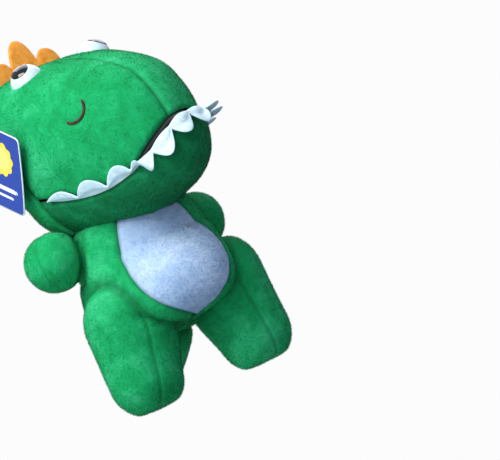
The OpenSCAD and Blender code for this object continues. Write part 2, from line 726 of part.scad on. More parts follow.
right_side() leg_panel(180);  // leg_panel_outer_right
right_side() leg_panel(0);  // leg_panel_inner_right
right_side() leg_stuffing();  // leg_stuffing_right
left_side() leg_panel(180);  // leg_panel_outer_left
left_side() leg_panel(0);  // leg_panel_inner_left
left_side() leg_stuffing();  // leg_stuffing_left
tail_panel(180);  // tail_panel_right
tail_panel(0);  // tail_panel_left
tail_stuffing();
tail_plates();
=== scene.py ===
import json
import math
import bmesh
import bpy
import numpy as np
from mathutils import Matrix, Vector


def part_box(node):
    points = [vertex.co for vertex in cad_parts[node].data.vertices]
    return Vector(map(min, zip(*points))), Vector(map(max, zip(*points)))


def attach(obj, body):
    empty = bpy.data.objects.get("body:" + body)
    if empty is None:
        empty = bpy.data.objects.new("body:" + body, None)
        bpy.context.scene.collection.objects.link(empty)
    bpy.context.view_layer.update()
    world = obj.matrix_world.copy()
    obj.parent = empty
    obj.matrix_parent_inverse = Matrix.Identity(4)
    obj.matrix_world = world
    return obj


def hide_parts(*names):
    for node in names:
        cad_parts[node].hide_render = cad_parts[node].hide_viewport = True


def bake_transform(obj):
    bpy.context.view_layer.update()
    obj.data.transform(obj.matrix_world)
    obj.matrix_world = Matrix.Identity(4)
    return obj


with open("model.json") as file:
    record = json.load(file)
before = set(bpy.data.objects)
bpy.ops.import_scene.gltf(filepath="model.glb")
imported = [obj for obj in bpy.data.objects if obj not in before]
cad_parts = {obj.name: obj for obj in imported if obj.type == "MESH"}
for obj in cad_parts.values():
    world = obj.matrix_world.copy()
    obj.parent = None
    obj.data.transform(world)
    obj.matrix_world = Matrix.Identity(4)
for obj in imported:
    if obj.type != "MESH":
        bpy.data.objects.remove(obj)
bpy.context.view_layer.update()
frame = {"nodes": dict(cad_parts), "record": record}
mm = 0.001

joints = {j["name"]: j for j in frame["record"]["behaviour"]["joints"]}


def jointPlace(name):
    return np.array(joints[name]["pos_m"], float) / mm


neckPlace = jointPlace("neck_turn")
shoulderPlace = jointPlace("arm_left_swing")
hipPlace = jointPlace("leg_left_swing")
tailPlace = jointPlace("tail_wag")
solePlace = np.array(next(m for m in frame["record"]["mounts"] if m["name"] == "soles")["pos_m"]) / mm
turnAxis = joints["tag_swing"]["axis"]
headTurn = math.atan2(turnAxis[1], turnAxis[0])


def nodeBox(name):
    low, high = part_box(name)
    return np.array(low) / mm, np.array(high) / mm


def ease(t):
    t = np.clip(t, 0, 1)
    return t * t * (3 - 2 * t)


def mix(a, b, t):
    return a + (b - a) * t


def signedPower(v, e):
    return np.sign(v) * np.abs(v) ** e


def unit(v):
    v = np.asarray(v, float)
    return v / np.maximum(np.linalg.norm(v, axis=-1, keepdims=True), 1e-9)


def splineRows(rows, s):
    # cubic through the rows: each point leaves along the line between its two neighbours
    rows = np.asarray(rows, float)
    last = len(rows) - 1
    i = np.floor(np.clip(s, 0, last - 1e-4)).astype(int)
    t = (s - i)[..., None]
    a, b, c, d = [rows[np.clip(i + k, 0, last)] for k in (-1, 0, 1, 2)]
    bend = 2 * a - 5 * b + 4 * c - d
    twist = 3 * b - a - 3 * c + d
    return 0.5 * (2 * b + (c - a) * t + bend * t ** 2 + twist * t ** 3)


def softNoise(p, size, seed):
    # random values on a lattice of that size in mm, blended smoothly between its corners, -1 to 1
    table = np.random.RandomState(seed).rand(32, 32, 32)
    q = np.asarray(p, float) / size
    cell = np.floor(q).astype(int)
    f = q - cell
    f = f * f * (3 - 2 * f)
    total = 0
    for corner in range(8):
        step = np.array([corner & 1, corner >> 1 & 1, corner >> 2 & 1])
        k = (cell + step) % 32
        weight = np.prod(np.where(step, f, 1 - f), axis=-1)
        total = total + weight * table[k[..., 0], k[..., 1], k[..., 2]]
    return 2 * total - 1


def roundCone(p, a, b, ra, rb):
    # distance from p to the skin round two balls and the cone that touches both
    ba = b - a
    length = np.dot(ba, ba)
    slope = ra - rb
    flat = length - slope * slope
    pa = p - a
    y = pa @ ba
    z = y - length
    x = pa * length - y[..., None] * ba
    xx = np.sum(x * x, -1)
    yy = y * y * length
    zz = z * z * length
    k = np.sign(slope) * slope * slope * xx
    side = (np.sqrt(xx * flat / length) + y * slope) / length - ra
    endB = np.sqrt(xx + zz) / length - rb
    endA = np.sqrt(xx + yy) / length - ra
    out = np.where(np.sign(z) * flat * zz > k, endB, np.where(np.sign(y) * flat * yy < k, endA, side))
    return out


def gridNormals(p, closed=False):
    if closed:
        wide = np.concatenate([p[:, -1:], p, p[:, :1]], 1)
        du = np.gradient(wide, axis=1)[:, 1:-1]
    else:
        du = np.gradient(p, axis=1)
    dv = np.gradient(p, axis=0)
    return unit(np.cross(dv, du))


def outward(p, n, centre):
    return n * (1 if np.sum((p - centre) * n) > 0 else -1)


def gridMesh(name, p, closed=False, closedRows=False, centre=None, extra=None, ends=False):
    # quads between neighbouring points of the grid, wound so that they face away from the centre
    rows, cols = p.shape[:2]
    index = np.arange(rows * cols).reshape(rows, cols)
    if closed:
        index = np.concatenate([index, index[:, :1]], 1)
    if closedRows:
        index = np.concatenate([index, index[:1]], 0)
    quads = np.stack([index[:-1, :-1], index[:-1, 1:], index[1:, 1:], index[1:, :-1]], -1).reshape(-1, 4)
    points = p.reshape(-1, 3)
    if centre is None:
        centre = points.mean(0)
    corner = points[quads]
    normal = np.cross(corner[:, 2] - corner[:, 0], corner[:, 3] - corner[:, 1])
    if np.sum(normal * (corner.mean(1) - centre)) < 0:
        quads = quads[:, ::-1]
    faces = quads.tolist()
    if ends:
        first = list(range(cols))
        final = [(rows - 1) * cols + k for k in range(cols)]
        flipped = quads[0][0] != 0
        faces.append(first if flipped else first[::-1])
        faces.append(final[::-1] if flipped else final)
    mesh = bpy.data.meshes.new(name)
    mesh.from_pydata((points * mm).tolist(), [], faces)
    mesh.polygons.foreach_set("use_smooth", np.ones(len(mesh.polygons), bool))
    for key, values in (extra or {}).items():
        layer = mesh.attributes.new(key, "FLOAT", "POINT")
        layer.data.foreach_set("value", np.asarray(values, np.float32).reshape(-1))
    mesh.update()
    obj = bpy.data.objects.new(name, mesh)
    bpy.context.scene.collection.objects.link(obj)
    return obj


def turned(p):
    # head parts are made looking straight ahead, then turned about the neck's upright axis
    c, s = math.cos(headTurn), math.sin(headTurn)
    q = p - neckPlace
    x, y, z = q[..., 0], q[..., 1], q[..., 2]
    return np.stack([c * x - s * y, s * x + c * y, z], -1) + neckPlace


def edgeDistance(p, edges):
    # how far each point lies from the nearest sewn edge, measured along the rows and columns
    best = np.full(p.shape[:2], 1e3)
    down = np.cumsum(np.linalg.norm(np.diff(p, axis=0, prepend=p[:1]), axis=-1), 0)
    across = np.cumsum(np.linalg.norm(np.diff(p, axis=1, prepend=p[:, :1]), axis=-1), 1)
    if "top" in edges:
        best = np.minimum(best, down)
    if "bottom" in edges:
        best = np.minimum(best, down[-1] - down)
    if "start" in edges:
        best = np.minimum(best, across)
    if "end" in edges:
        best = np.minimum(best, across[:, -1:] - across)
    return best


def sewn(p, normal, d, seam, seed):
    # sunk in a soft valley along the edge, filled out beyond it, with small puckers near the thread
    valley = -seam["depth"] * np.exp(-(d / seam["width"]) ** 2)
    filled = seam["puff"] * (1 - np.exp(-(d / seam["reach"]) ** 2))
    pucker = seam["pucker"] * softNoise(p, seam["puckerSize"], seed)
    pucker = pucker * np.exp(-d / 6) * (1 - np.exp(-d / 0.8))
    lumps = seam["lumps"] * softNoise(p, 17, seed + 1) * (1 - np.exp(-d / 9))
    return p + normal * (valley + filled + pucker + lumps)[..., None]


pile = {"perMm2": 3.6, "length": 0.85, "width": 0.13, "lie": 0.6, "most": 62000}  # fibres, mm


def addPile(obj, seed):
    # each fibre is one thin triangle: its root lies on the skin, its tip leans down and back
    mesh = obj.data
    count = len(mesh.vertices)
    points = np.empty(count * 3)
    mesh.vertices.foreach_get("co", points)
    points = points.reshape(-1, 3) / mm
    normals = np.empty(count * 3)
    mesh.vertices.foreach_get("normal", normals)
    normals = normals.reshape(-1, 3)
    mesh.calc_loop_triangles()
    tri = np.empty(len(mesh.loop_triangles) * 3, int)
    mesh.loop_triangles.foreach_get("vertices", tri)
    tri = tri.reshape(-1, 3)
    seam = np.empty(count, np.float32)
    mesh.attributes["seam"].data.foreach_get("value", seam)
    corners = points[tri]
    area = np.linalg.norm(np.cross(corners[:, 1] - corners[:, 0], corners[:, 2] - corners[:, 0]),
                          axis=1) / 2
    rng = np.random.RandomState(seed)
    n = int(min(pile["most"], area.sum() * pile["perMm2"]))
    pick = rng.choice(len(tri), n, p=area / area.sum())
    w = rng.dirichlet((1, 1, 1), n)
    root = np.sum(corners[pick] * w[..., None], 1)
    normal = unit(np.sum(normals[tri[pick]] * w[..., None], 1))
    seamAt = np.sum(seam[tri[pick]] * w, 1)
    stroke = np.stack([softNoise(root, 14, seed + k) for k in (1, 2, 3)], -1)
    comb = np.array([0, 0.35, -1.0]) + 0.9 * stroke
    comb = comb + 0.8 * rng.normal(size=(n, 3))
    comb = unit(comb - np.sum(comb * normal, 1, keepdims=True) * normal)
    tip = unit(normal + pile["lie"] * comb)
    length = pile["length"] * (0.6 + 0.6 * rng.rand(n)) * np.clip(seamAt / 2.5, 0.25, 1)
    side = unit(np.cross(tip, rng.normal(size=(n, 3)))) * pile["width"] / 2
    fibres = np.stack([root - side, root + side, root + tip * length[:, None]], 1).reshape(-1, 3)
    faces = [list(f.vertices) for f in mesh.polygons]
    faces += (count + np.arange(3 * n).reshape(-1, 3)).tolist()
    allPoints = np.concatenate([points, fibres])
    mesh.clear_geometry()
    mesh.from_pydata((allPoints * mm).tolist(), [], faces)
    mesh.polygons.foreach_set("use_smooth", np.ones(len(mesh.polygons), bool))
    # each fibre keeps the seam distance of its root, which shortens it and paints shade near seams, and a
    # value that grows from root to tip for the highlight painted on its tip
    values = {"seam": np.concatenate([seam, np.repeat(seamAt, 3)]),
              "tip": np.concatenate([np.zeros(count), np.tile([0.25, 0.25, 1.0], n)])}
    for key, value in values.items():
        if key in mesh.attributes:
            mesh.attributes.remove(mesh.attributes[key])
        mesh.attributes.new(key, "FLOAT", "POINT").data.foreach_set("value", value.astype(np.float32))
    mesh.update()
    allNormals = np.concatenate([normals, np.repeat(normal, 3, 0)])
    mesh.normals_split_custom_set_from_vertices(allNormals.tolist())


def finishPiece(obj, material, body=None, smooth=1, pileSeed=None):
    obj.data.materials.append(material)
    if smooth:
        soften = obj.modifiers.new("soften", "SUBSURF")
        soften.levels = smooth
        soften.render_levels = smooth
        bpy.context.view_layer.objects.active = obj
        bpy.ops.object.modifier_apply(modifier="soften")
        obj.data.polygons.foreach_set("use_smooth", np.ones(len(obj.data.polygons), bool))
    if pileSeed is not None:
        addPile(obj, pileSeed)
    if body:
        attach(obj, body)
    return obj


def linear(hexColour):
    out = []
    for k in (1, 3, 5):
        v = int(hexColour[k:k + 2], 16) / 255
        out.append(v / 12.92 if v <= 0.04045 else ((v + 0.055) / 1.055) ** 2.4)
    return (*out, 1)


def addNode(tree, kind, settings=None, links=None):
    node = tree.nodes.new(kind)
    for key, value in (settings or {}).items():
        if key in node.inputs.keys():
            node.inputs[key].default_value = value
        else:
            setattr(node, key, value)
    for key, source in (links or {}).items():
        tree.links.new(source, node.inputs[key])
    return node


def setInputs(node, values):
    for key, value in values.items():
        node.inputs[key].default_value = value


def newMaterial(name):
    material = bpy.data.materials.new(name)
    material.use_nodes = True
    tree = material.node_tree
    tree.nodes.clear()
    out = addNode(tree, "ShaderNodeOutputMaterial")
    shader = addNode(tree, "ShaderNodeBsdfPrincipled")
    tree.links.new(shader.outputs[0], out.inputs["Surface"])
    place = addNode(tree, "ShaderNodeTexCoord").outputs["Object"]
    return material, tree, shader, place


def noiseNode(tree, place, sizeMm, detail=2, rough=0.5):
    return addNode(tree, "ShaderNodeTexNoise", {"Scale": 1000 / sizeMm, "Detail": detail,
                                                "Roughness": rough}, {"Vector": place}).outputs["Fac"]


def rampNode(tree, source, stops):
    ramp = addNode(tree, "ShaderNodeValToRGB", None, {"Fac": source})
    elements = ramp.color_ramp.elements
    while len(elements) < len(stops):
        elements.new(0.5)
    for element, (at, colour) in zip(elements, stops):
        element.position = at
        element.color = colour
    return ramp.outputs["Color"]


def mixColour(tree, amount, a, b, how="MIX"):
    node = addNode(tree, "ShaderNodeMix", {"data_type": "RGBA", "blend_type": how})
    for socket, value in ((node.inputs[0], amount), (node.inputs[6], a), (node.inputs[7], b)):
        if isinstance(value, (int, float, tuple)):
            socket.default_value = value
        else:
            tree.links.new(value, socket)
    return node.outputs[2]


def stretch(tree, source, low, high, toLow=0.0, toHigh=1.0):
    return addNode(tree, "ShaderNodeMapRange", {"From Min": low, "From Max": high, "To Min": toLow,
                                                "To Max": toHigh}, {"Value": source}).outputs[0]


def attributeNode(tree, name):
    return addNode(tree, "ShaderNodeAttribute", {"attribute_name": name}).outputs["Fac"]


# Velboa: a short brushed pile. Patches brushed one way look pale and the rest deep, and a
# fine grain of fibre tips breaks up the light, with a soft bright edge where it turns away.
# painted light in this cloth: shade painted into the seams and joins, and a highlight painted on the fibre
# tips
def velboa(name, deep, mid, pale, patch=22, patchShare=0.55, sheen=0.5):
    material, tree, shader, place = newMaterial(name)
    broad = noiseNode(tree, place, patch, 3, 0.55)
    brushed = noiseNode(tree, place, 5.5, 3, 0.6)
    grain = noiseNode(tree, place, 0.9, 3, 0.75)
    fibre = noiseNode(tree, place, 0.38, 2, 0.6)
    nap = mixColour(tree, 1 - patchShare, broad, brushed)
    base = rampNode(tree, nap, [(0.36, linear(deep)), (0.52, linear(mid)), (0.68, linear(pale))])
    shade = stretch(tree, grain, 0.3, 0.7, 0.93, 1.06)
    tips = mixColour(tree, 1.0, base, shade, "MULTIPLY")
    # painted shade: the cloth is painted down to half as bright within 2.2 mm of a seam, a dart, the
    # nostril stitching or a join between parts, where the grooves hold shadow
    seam = stretch(tree, attributeNode(tree, "seam"), 0.0, 2.2, 0.5, 1.0)
    shaded = mixColour(tree, 1.0, tips, seam, "MULTIPLY")
    # painted highlight: each fibre is painted up to 30 % lighter towards its tip than the skin below
    reach = stretch(tree, attributeNode(tree, "tip"), 0.0, 1.0, 1.0, 1.3)
    colour = mixColour(tree, 1.0, shaded, reach, "MULTIPLY")
    tree.links.new(colour, shader.inputs["Base Color"])
    pile = addNode(tree, "ShaderNodeBump", {"Strength": 0.3, "Distance": 0.0004}, {"Height": fibre})
    tufts = addNode(tree, "ShaderNodeBump", {"Strength": 0.14, "Distance": 0.0008},
                    {"Height": brushed, "Normal": pile.outputs[0]})
    tree.links.new(tufts.outputs[0], shader.inputs["Normal"])
    setInputs(shader, {"Roughness": 0.9, "Specular IOR Level": 0.18, "Sheen Weight": sheen,
                       "Sheen Roughness": 0.45, "Sheen Tint": linear(pale)})
    return material


# Felt: matted wool with no direction, matt, with short stray hairs and faint pressed clouds
def felt(name, colour, pale):
    material, tree, shader, place = newMaterial(name)
    cloud = noiseNode(tree, place, 3.2, 4, 0.65)
    wool = noiseNode(tree, place, 0.5, 3, 0.8)
    base = rampNode(tree, cloud, [(0.32, linear(colour)), (0.7, linear(pale))])
    hairs = stretch(tree, wool, 0.3, 0.7, 0.86, 1.1)
    tree.links.new(mixColour(tree, 1.0, base, hairs, "MULTIPLY"), shader.inputs["Base Color"])
    bump = addNode(tree, "ShaderNodeBump", {"Strength": 0.6, "Distance": 0.0004}, {"Height": wool})
    tree.links.new(bump.outputs[0], shader.inputs["Normal"])
    setInputs(shader, {"Roughness": 0.95, "Specular IOR Level": 0.15, "Sheen Weight": 0.25})
    return material


# Satin weave: close parallel threads that give a soft streak of light along the ribbon
def satin(name, colour):
    material, tree, shader, place = newMaterial(name)
    weave = addNode(tree, "ShaderNodeTexWave", {"Scale": 1000 / 2.2, "Distortion": 0.6, "Detail": 1.0},
                    {"Vector": place})
    soft = noiseNode(tree, place, 6, 2, 0.5)
    base = rampNode(tree, soft, [(0.3, linear(colour)), (0.7, linear("#ffffff"))])
    tree.links.new(base, shader.inputs["Base Color"])
    bump = addNode(tree, "ShaderNodeBump", {"Strength": 0.25, "Distance": 0.0002},
                   {"Height": weave.outputs["Fac"]})
    tree.links.new(bump.outputs[0], shader.inputs["Normal"])
    setInputs(shader, {"Roughness": 0.42, "Anisotropic": 0.4})
    return material


# Moulded plastic: hard and glossy, with a very faint ripple from the mould
def plastic(name, colour, rough=0.12):
    material, tree, shader, place = newMaterial(name)
    ripple = noiseNode(tree, place, 3, 2, 0.5)
    base = rampNode(tree, ripple, [(0.2, linear(colour)), (0.9, linear(colour))])
    tree.links.new(base, shader.inputs["Base Color"])
    spread = stretch(tree, noiseNode(tree, place, 1.2, 3, 0.6), 0.2, 0.8, rough * 0.8, rough * 1.5)
    tree.links.new(spread, shader.inputs["Roughness"])
    bump = addNode(tree, "ShaderNodeBump", {"Strength": 0.06, "Distance": 0.0003}, {"Height": ripple})
    tree.links.new(bump.outputs[0], shader.inputs["Normal"])
    setInputs(shader, {"IOR": 1.5, "Coat Weight": 0.5, "Coat Roughness": 0.04})
    return material


# Clear soft PVC: bends the light like thick water, a little cloudy, with handling marks
def clearPvc(name):
    material, tree, shader, place = newMaterial(name)
    haze = noiseNode(tree, place, 7, 3, 0.6)
    tree.links.new(rampNode(tree, haze, [(0.3, linear("#e2f0f0")), (0.8, linear("#f6fbfb"))]),
                   shader.inputs["Base Color"])
    tree.links.new(stretch(tree, haze, 0.3, 0.8, 0.06, 0.2), shader.inputs["Roughness"])
    setInputs(shader, {"Transmission Weight": 0.94, "IOR": 1.53})
    return material


# White satin label, blank but for one small dark printed mark
def printedLabel(name):
    material, tree, shader, place = newMaterial(name)
    weave = noiseNode(tree, place, 0.5, 2, 0.6)
    base = rampNode(tree, weave, [(0.3, linear("#cfdbe9")), (0.7, linear("#dde7f2"))])
    spot = stretch(tree, attributeNode(tree, "spot"), 0.9, 1.1)
    tree.links.new(mixColour(tree, spot, linear("#3a3f48"), base), shader.inputs["Base Color"])
    bump = addNode(tree, "ShaderNodeBump", {"Strength": 0.3, "Distance": 0.0002}, {"Height": weave})
    tree.links.new(bump.outputs[0], shader.inputs["Normal"])
    shader.inputs["Roughness"].default_value = 0.5
    return material


# Coated card printed blue, with a plain yellow sun and two pale bars as its only print
def printedCard(name):
    material, tree, shader, place = newMaterial(name)
    fleck = noiseNode(tree, place, 1.5, 3, 0.6)
    blue = rampNode(tree, fleck, [(0.3, linear("#1b3a95")), (0.7, linear("#2142a2"))])
    sun = stretch(tree, attributeNode(tree, "sun"), -0.1, 0.1)
    ring = stretch(tree, attributeNode(tree, "sun"), -3.2, -3.0)
    bar = stretch(tree, attributeNode(tree, "bar"), -0.1, 0.1)
    rim = stretch(tree, attributeNode(tree, "rim"), 0.4, 0.6)
    colour = mixColour(tree, sun, linear("#f2cf4a"), blue)
    colour = mixColour(tree, ring, linear("#f6dd78"), colour)
    colour = mixColour(tree, bar, linear("#e4ecf4"), colour)
    colour = mixColour(tree, rim, linear("#dfe6ee"), colour)
    tree.links.new(colour, shader.inputs["Base Color"])
    setInputs(shader, {"Roughness": 0.32, "Coat Weight": 0.3})
    return material


mats = {
    "green": velboa("velboa_green", "#04894c", "#119c5e", "#33b57c", 26, 0.7, 0.3),
    # a darker copy of the green velboa for the jaw panel: painted shade under the head
    "jaw": velboa("velboa_green_painted_shade", "#056b3e", "#0a7c4b", "#1c9160", 20, 0.6, 0.15),
    "white": velboa("velboa_white", "#94b2da", "#a3bee3", "#b8cfee", 18, 0.5, 0.12),
    "orangeFelt": felt("felt_orange", "#d87f1e", "#eea045"),
    "whiteFelt": felt("felt_white", "#a9cbe0", "#cfe4f0"),
    "lining": felt("lining_black", "#101113", "#1c1d20"),
    "eyeWhite": plastic("eye_white", "#bfd4e4", 0.16),
    "eyeBlack": plastic("eye_black", "#101416", 0.08),
    "washer": plastic("washer_plastic", "#d0d2d2", 0.4),
    "nylon": plastic("clear_nylon", "#e6ebec", 0.25),
    "satin": satin("satin_white", "#dfe6ee"),
    "label": printedLabel("care_label_satin"),
    "card": printedCard("tag_card"),
    # the tan patches in the dark thread are painted glints on the stitches
    "thread": felt("nostril_thread", "#1c1a16", "#4a3c26"),
    "pvc": clearPvc("clear_pvc"),
}
print("materials ready")

# The camera looks from the toy's right front, a little from below, and is tilted in the hand
camera = {
    "around": -23.6,  # degrees round the toy from straight in front
    "up": -5.4,
    "tilt": 25.7,
    "distance": 3.4,  # m
    "frameWidth": 0.2778,  # m seen across the frame at the toy
    "aim": (106.8, -91.1),  # mm right of and above the point between the eyes
}


def makeCamera():
    a, e, t = [math.radians(camera[k]) for k in ("around", "up", "tilt")]
    right = np.array([math.cos(a), math.sin(a), 0])
    upward = np.array([-math.sin(a) * math.sin(e), math.cos(a) * math.sin(e), math.cos(e)])
    back = np.array([math.sin(a) * math.cos(e), -math.cos(a) * math.cos(e), math.sin(e)])
    camX = math.cos(t) * right - math.sin(t) * upward
    camY = math.sin(t) * right + math.cos(t) * upward
    eyes = turned(np.array([0, 0, neckPlace[2] + 113.0]))
    target = (eyes + camera["aim"][0] * camX + camera["aim"][1] * camY) * mm
    data = bpy.data.cameras.new("photoCamera")
    data.sensor_width = 36
    data.lens = 36 * camera["distance"] / camera["frameWidth"]
    data.clip_start = 0.05
    obj = bpy.data.objects.new("photoCamera", data)
    rotation = Matrix((Vector(camX), Vector(camY), Vector(back))).transposed()
    obj.matrix_world = Matrix.Translation(Vector(target + back * camera["distance"])) @ rotation.to_4x4()
    bpy.context.scene.collection.objects.link(obj)
    bpy.context.scene.camera = obj
    return camX, camY, back


camX, camY, camBack = makeCamera()
print("camera ready")

head = {
    "width": 100, "height": 106, "snout": 86, "nape": 56,
    "underbite": 5, "squareness": 0.96, "base": neckPlace[2] + 13,
    "lipGap": 0.063,  # rings between the mouth line and the edge of the snout or jaw
    "mouthOpen": 0.26,  # rings that the snout lifts off the jaw in front
}

# half of the loop from the crest's foot to the cup's knob, and how far the ribbon has
# twisted there, in degrees
ribbon = {
    "width": 3, "thick": 0.9, "loop": 6.2,
    "half": [[2.2, 36, 206.2, 0], [2.4, 41, 205.8, 0], [2.8, 47, 204, 0], [3.6, 54, 201, 0],
             [4.6, 61, 196.5, 15], [5.6, 67, 193, 45], [6, 70, 190.5, 80]],
    "cupAxis": (0, 0.87, -0.48), "cupUp": (0, 0.48, 0.87),
}


def makeRibbon():
    # a flat oval swept along the loop: down one side of the knob, round its neck and back up
    half = np.array(ribbon["half"], float)
    axis = unit(ribbon["cupAxis"])
    up = unit(ribbon["cupUp"])
    knob = np.array([0, neckPlace[1] + head["nape"] + 3, head["base"] + head["height"] * 0.83])
    middle = knob + axis * 6.2
    a = np.radians(np.arange(0, 181, 30))[:, None]
    loop = middle - ribbon["loop"] * (np.cos(a) * np.array([1, 0, 0]) + np.sin(a) * up)
    points = np.concatenate([half[:, :3] * [-1, 1, 1], loop, half[::-1, :3]])
    twist = np.concatenate([half[:, 3], np.full(len(a), 90), 180 - half[::-1, 3]])[:, None]
    s = np.linspace(0, len(points) - 1, 150)
    p = splineRows(points, s)
    t = np.radians(splineRows(twist, s))
    run = unit(np.gradient(p, axis=0))
    wish = np.cos(t) * np.array([1, 0, 0]) + np.sin(t) * axis
    wide = unit(wish - np.sum(wish * run, 1, keepdims=True) * run)
    thin = np.cross(run, wide)
    phi = np.linspace(0, 2 * math.pi, 20, endpoint=False)
    across = ribbon["width"] / 2 * signedPower(np.cos(phi), 0.6)
    deep = ribbon["thick"] / 2 * signedPower(np.sin(phi), 0.8)
    q = p[:, None] + wide[:, None] * across[None, :, None] + thin[:, None] * deep[None, :, None]
    obj = gridMesh("ribbon", turned(q), closed=True, centre=turned(middle), ends=True)
    finishPiece(obj, mats["satin"], "loop", smooth=0)
    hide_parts("hang_ribbon")


makeRibbon()
print("ribbon ready")

# rings from crown to chin: height, half width, snout reach, nape reach, seam place, as shares
headRows = [[1.004, 0.00, -0.30, 0.46, 0.46], [1.000, 0.28, -0.16, 0.66, 0.46],
            [0.975, 0.54, 0.04, 0.79, 0.43], [0.912, 0.75, 0.33, 0.88, 0.38],
            [0.808, 0.90, 0.62, 0.95, 0.32], [0.685, 0.98, 0.84, 0.99, 0.21],
            [0.555, 1.00, 0.94, 0.97, 0.12], [0.435, 0.99, 0.98, 0.88, 0.05],
            [0.330, 0.94, 1.00, 0.78, 0.02], [0.226, 0.88, 0.98, 0.68, 0.02],
            [0.130, 0.74, 0.94, 0.55, 0.03], [0.055, 0.54, 0.80, 0.40, 0.04],
            [0.005, 0.30, 0.48, 0.22, 0.05]]
mouthRows = [[7.82], [8.05], [8.45], [8.68], [8.73], [8.5], [8.1]]
headCentre = np.array([0, neckPlace[1] - 13, head["base"] + head["height"] * 0.49])


def headPoint(th, s):
    # each ring is two half ovals that meet at the crest seam: across by sine, along by cosine
    q = splineRows(headRows, s)
    a = np.radians(th)
    seamY = neckPlace[1] + q[..., 4] * head["nape"]
    front = neckPlace[1] - q[..., 2] * head["snout"]
    back = neckPlace[1] + q[..., 3] * head["nape"]
    reach = np.where(np.cos(a) >= 0, seamY - front, back - seamY)
    return np.stack([head["width"] / 2 * q[..., 1] * signedPower(np.sin(a), head["squareness"]),
                     seamY - reach * signedPower(np.cos(a), head["squareness"]),
                     head["base"] + head["height"] * q[..., 0]], -1)


def mouthRing(th):
    sag = np.where(np.abs(th) < 90, 0.7 * np.sin(np.radians(2 * th)), 0)
    return splineRows(mouthRows, np.minimum(90, np.abs(th)) / 15)[..., 0] - sag


def bite(th):
    return head["underbite"] * np.maximum(0, np.cos(np.radians(th))) ** 2


def jawPoint(th, s):
    a = np.radians(th)
    push = bite(th) * (1 - ease((s - 10) / 2))
    way = np.stack([0.35 * np.sin(a), -np.cos(a), 0 * a], -1)
    return headPoint(th, s) + push[..., None] * way


def neckRing(th, point, radius=40.4):
    # halves the range until the ring is found where the surface meets the neck's ball
    low = np.full(th.shape, 9.5)
    high = np.full(th.shape, 12.0)
    for _ in range(22):
        middle = (low + high) / 2
        outside = np.linalg.norm(point(th, middle) - neckPlace, axis=-1) > radius
        low = np.where(outside, middle, low)
        high = np.where(outside, high, middle)
    return (low + high) / 2


def mouthLift(th):
    return head["mouthOpen"] * ease((th + 40) / 18) * (1 - ease((th - 34) / 18))


headSeam = {"depth": 1.5, "width": 1.5, "puff": 0.35, "reach": 9, "pucker": 0.55, "puckerSize": 4.2,
            "lumps": 0.5}
dart = {"from": (-49, 8.5), "to": (-45, 7.1), "depth": 1.3,
        "width": 1.5}  # a short fold sewn at the cheek


def segmentDistance(p, a, b):
    along = np.clip(((p - a) @ (b - a)) / np.dot(b - a, b - a), 0, 1)
    return np.linalg.norm(p - a - along[..., None] * (b - a), axis=-1), along


nostril = {"place": (44, 5.4), "facing": (0.7, -0.68, 0.2), "radius": 7.5, "turn": -112, "sweep": 165,
           "thread": 1.9}


def nostrilArc(side, n):
    # part of a circle in the plane that faces out of the cheek, before it is laid on the skin
    at = headPoint(np.array(float(nostril["place"][0])), np.array(float(nostril["place"][1])))
    ez = unit(nostril["facing"])
    ex = unit(np.array([0, 0, -1.0]) + ez[2] * ez)
    ey = np.cross(ez, ex)
    a = np.radians(np.linspace(nostril["turn"], nostril["turn"] + nostril["sweep"], n))[:, None]
    arc = at + nostril["radius"] * (np.cos(a) * ex + np.sin(a) * ey)
    return arc * [side, 1, 1], ez * [side, 1, 1]


def headPanel(name, th, s, edges, point, seam, seed, node, material, darts=0):
    p = point(th, s)
    normal = outward(p, gridNormals(p), headCentre)
    d = edgeDistance(p, edges)
    q = sewn(p, normal, d, seam, seed)
    if darts:
        ends = [headPoint(np.array(-darts * float(t)), np.array(float(r)))
                for t, r in (dart["from"], dart["to"])]
        near, along = segmentDistance(p, ends[0], ends[1])
        q = q - normal * (dart["depth"] * (1 - 0.8 * along)
                          * np.exp(-(near / dart["width"]) ** 2))[..., None]
        d = np.minimum(d, near + 3 * along)
        arc, facing = nostrilArc(darts, 24)
        away = p[:, :, None] - arc
        away = away - np.sum(away * facing, -1, keepdims=True) * facing
        near = np.linalg.norm(away, axis=-1).min(-1)
        q = q - normal * (1.2 * np.exp(-(near / 1.9) ** 2))[..., None]
        d = np.minimum(d, 0.6 + near)
    # the seam distance is also the mask for painted shade: the velboa is painted darker in the seam
    # grooves, along the dart and round the nostril stitching
    obj = gridMesh(name, turned(q), centre=turned(headCentre), extra={"seam": d})
    finishPiece(obj, material, "head", pileSeed=seed)
    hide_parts(node)
    return obj


def makeHead():
    u = np.linspace(0, 1, 66)[:, None]
    for side, name in ((-1, "right"), (1, "left")):
        th = side * np.linspace(0, 90, 48)[None, :] + 0 * u
        low = mouthRing(th) - head["lipGap"] - mouthLift(th)
        headPanel("headPanel" + name.title(), th, mix(0.01, low, u), ("bottom", "start", "end"),
                  headPoint,
                  headSeam, 11 + side, "head_panel_" + name, mats["green"], side)
    th = np.linspace(90, 270, 96)[None, :] + 0 * u
    headPanel("headPanelBack", th, mix(0.01, neckRing(th, headPoint), u), ("start", "end"), headPoint,
              headSeam, 21, "head_panel_back", mats["green"])
    u = np.linspace(0, 1, 26)[:, None]
    th = np.linspace(-90, 90, 96)[None, :] + 0 * u
    # the jaw takes the darker copy of the green, painted as shade under the head
    headPanel("jawPanel", th, mix(mouthRing(th) + head["lipGap"], neckRing(th, jawPoint), u),
              ("top", "start", "end"), jawPoint, headSeam, 31, "jaw_panel", mats["jaw"])


makeHead()
print("head panels ready")


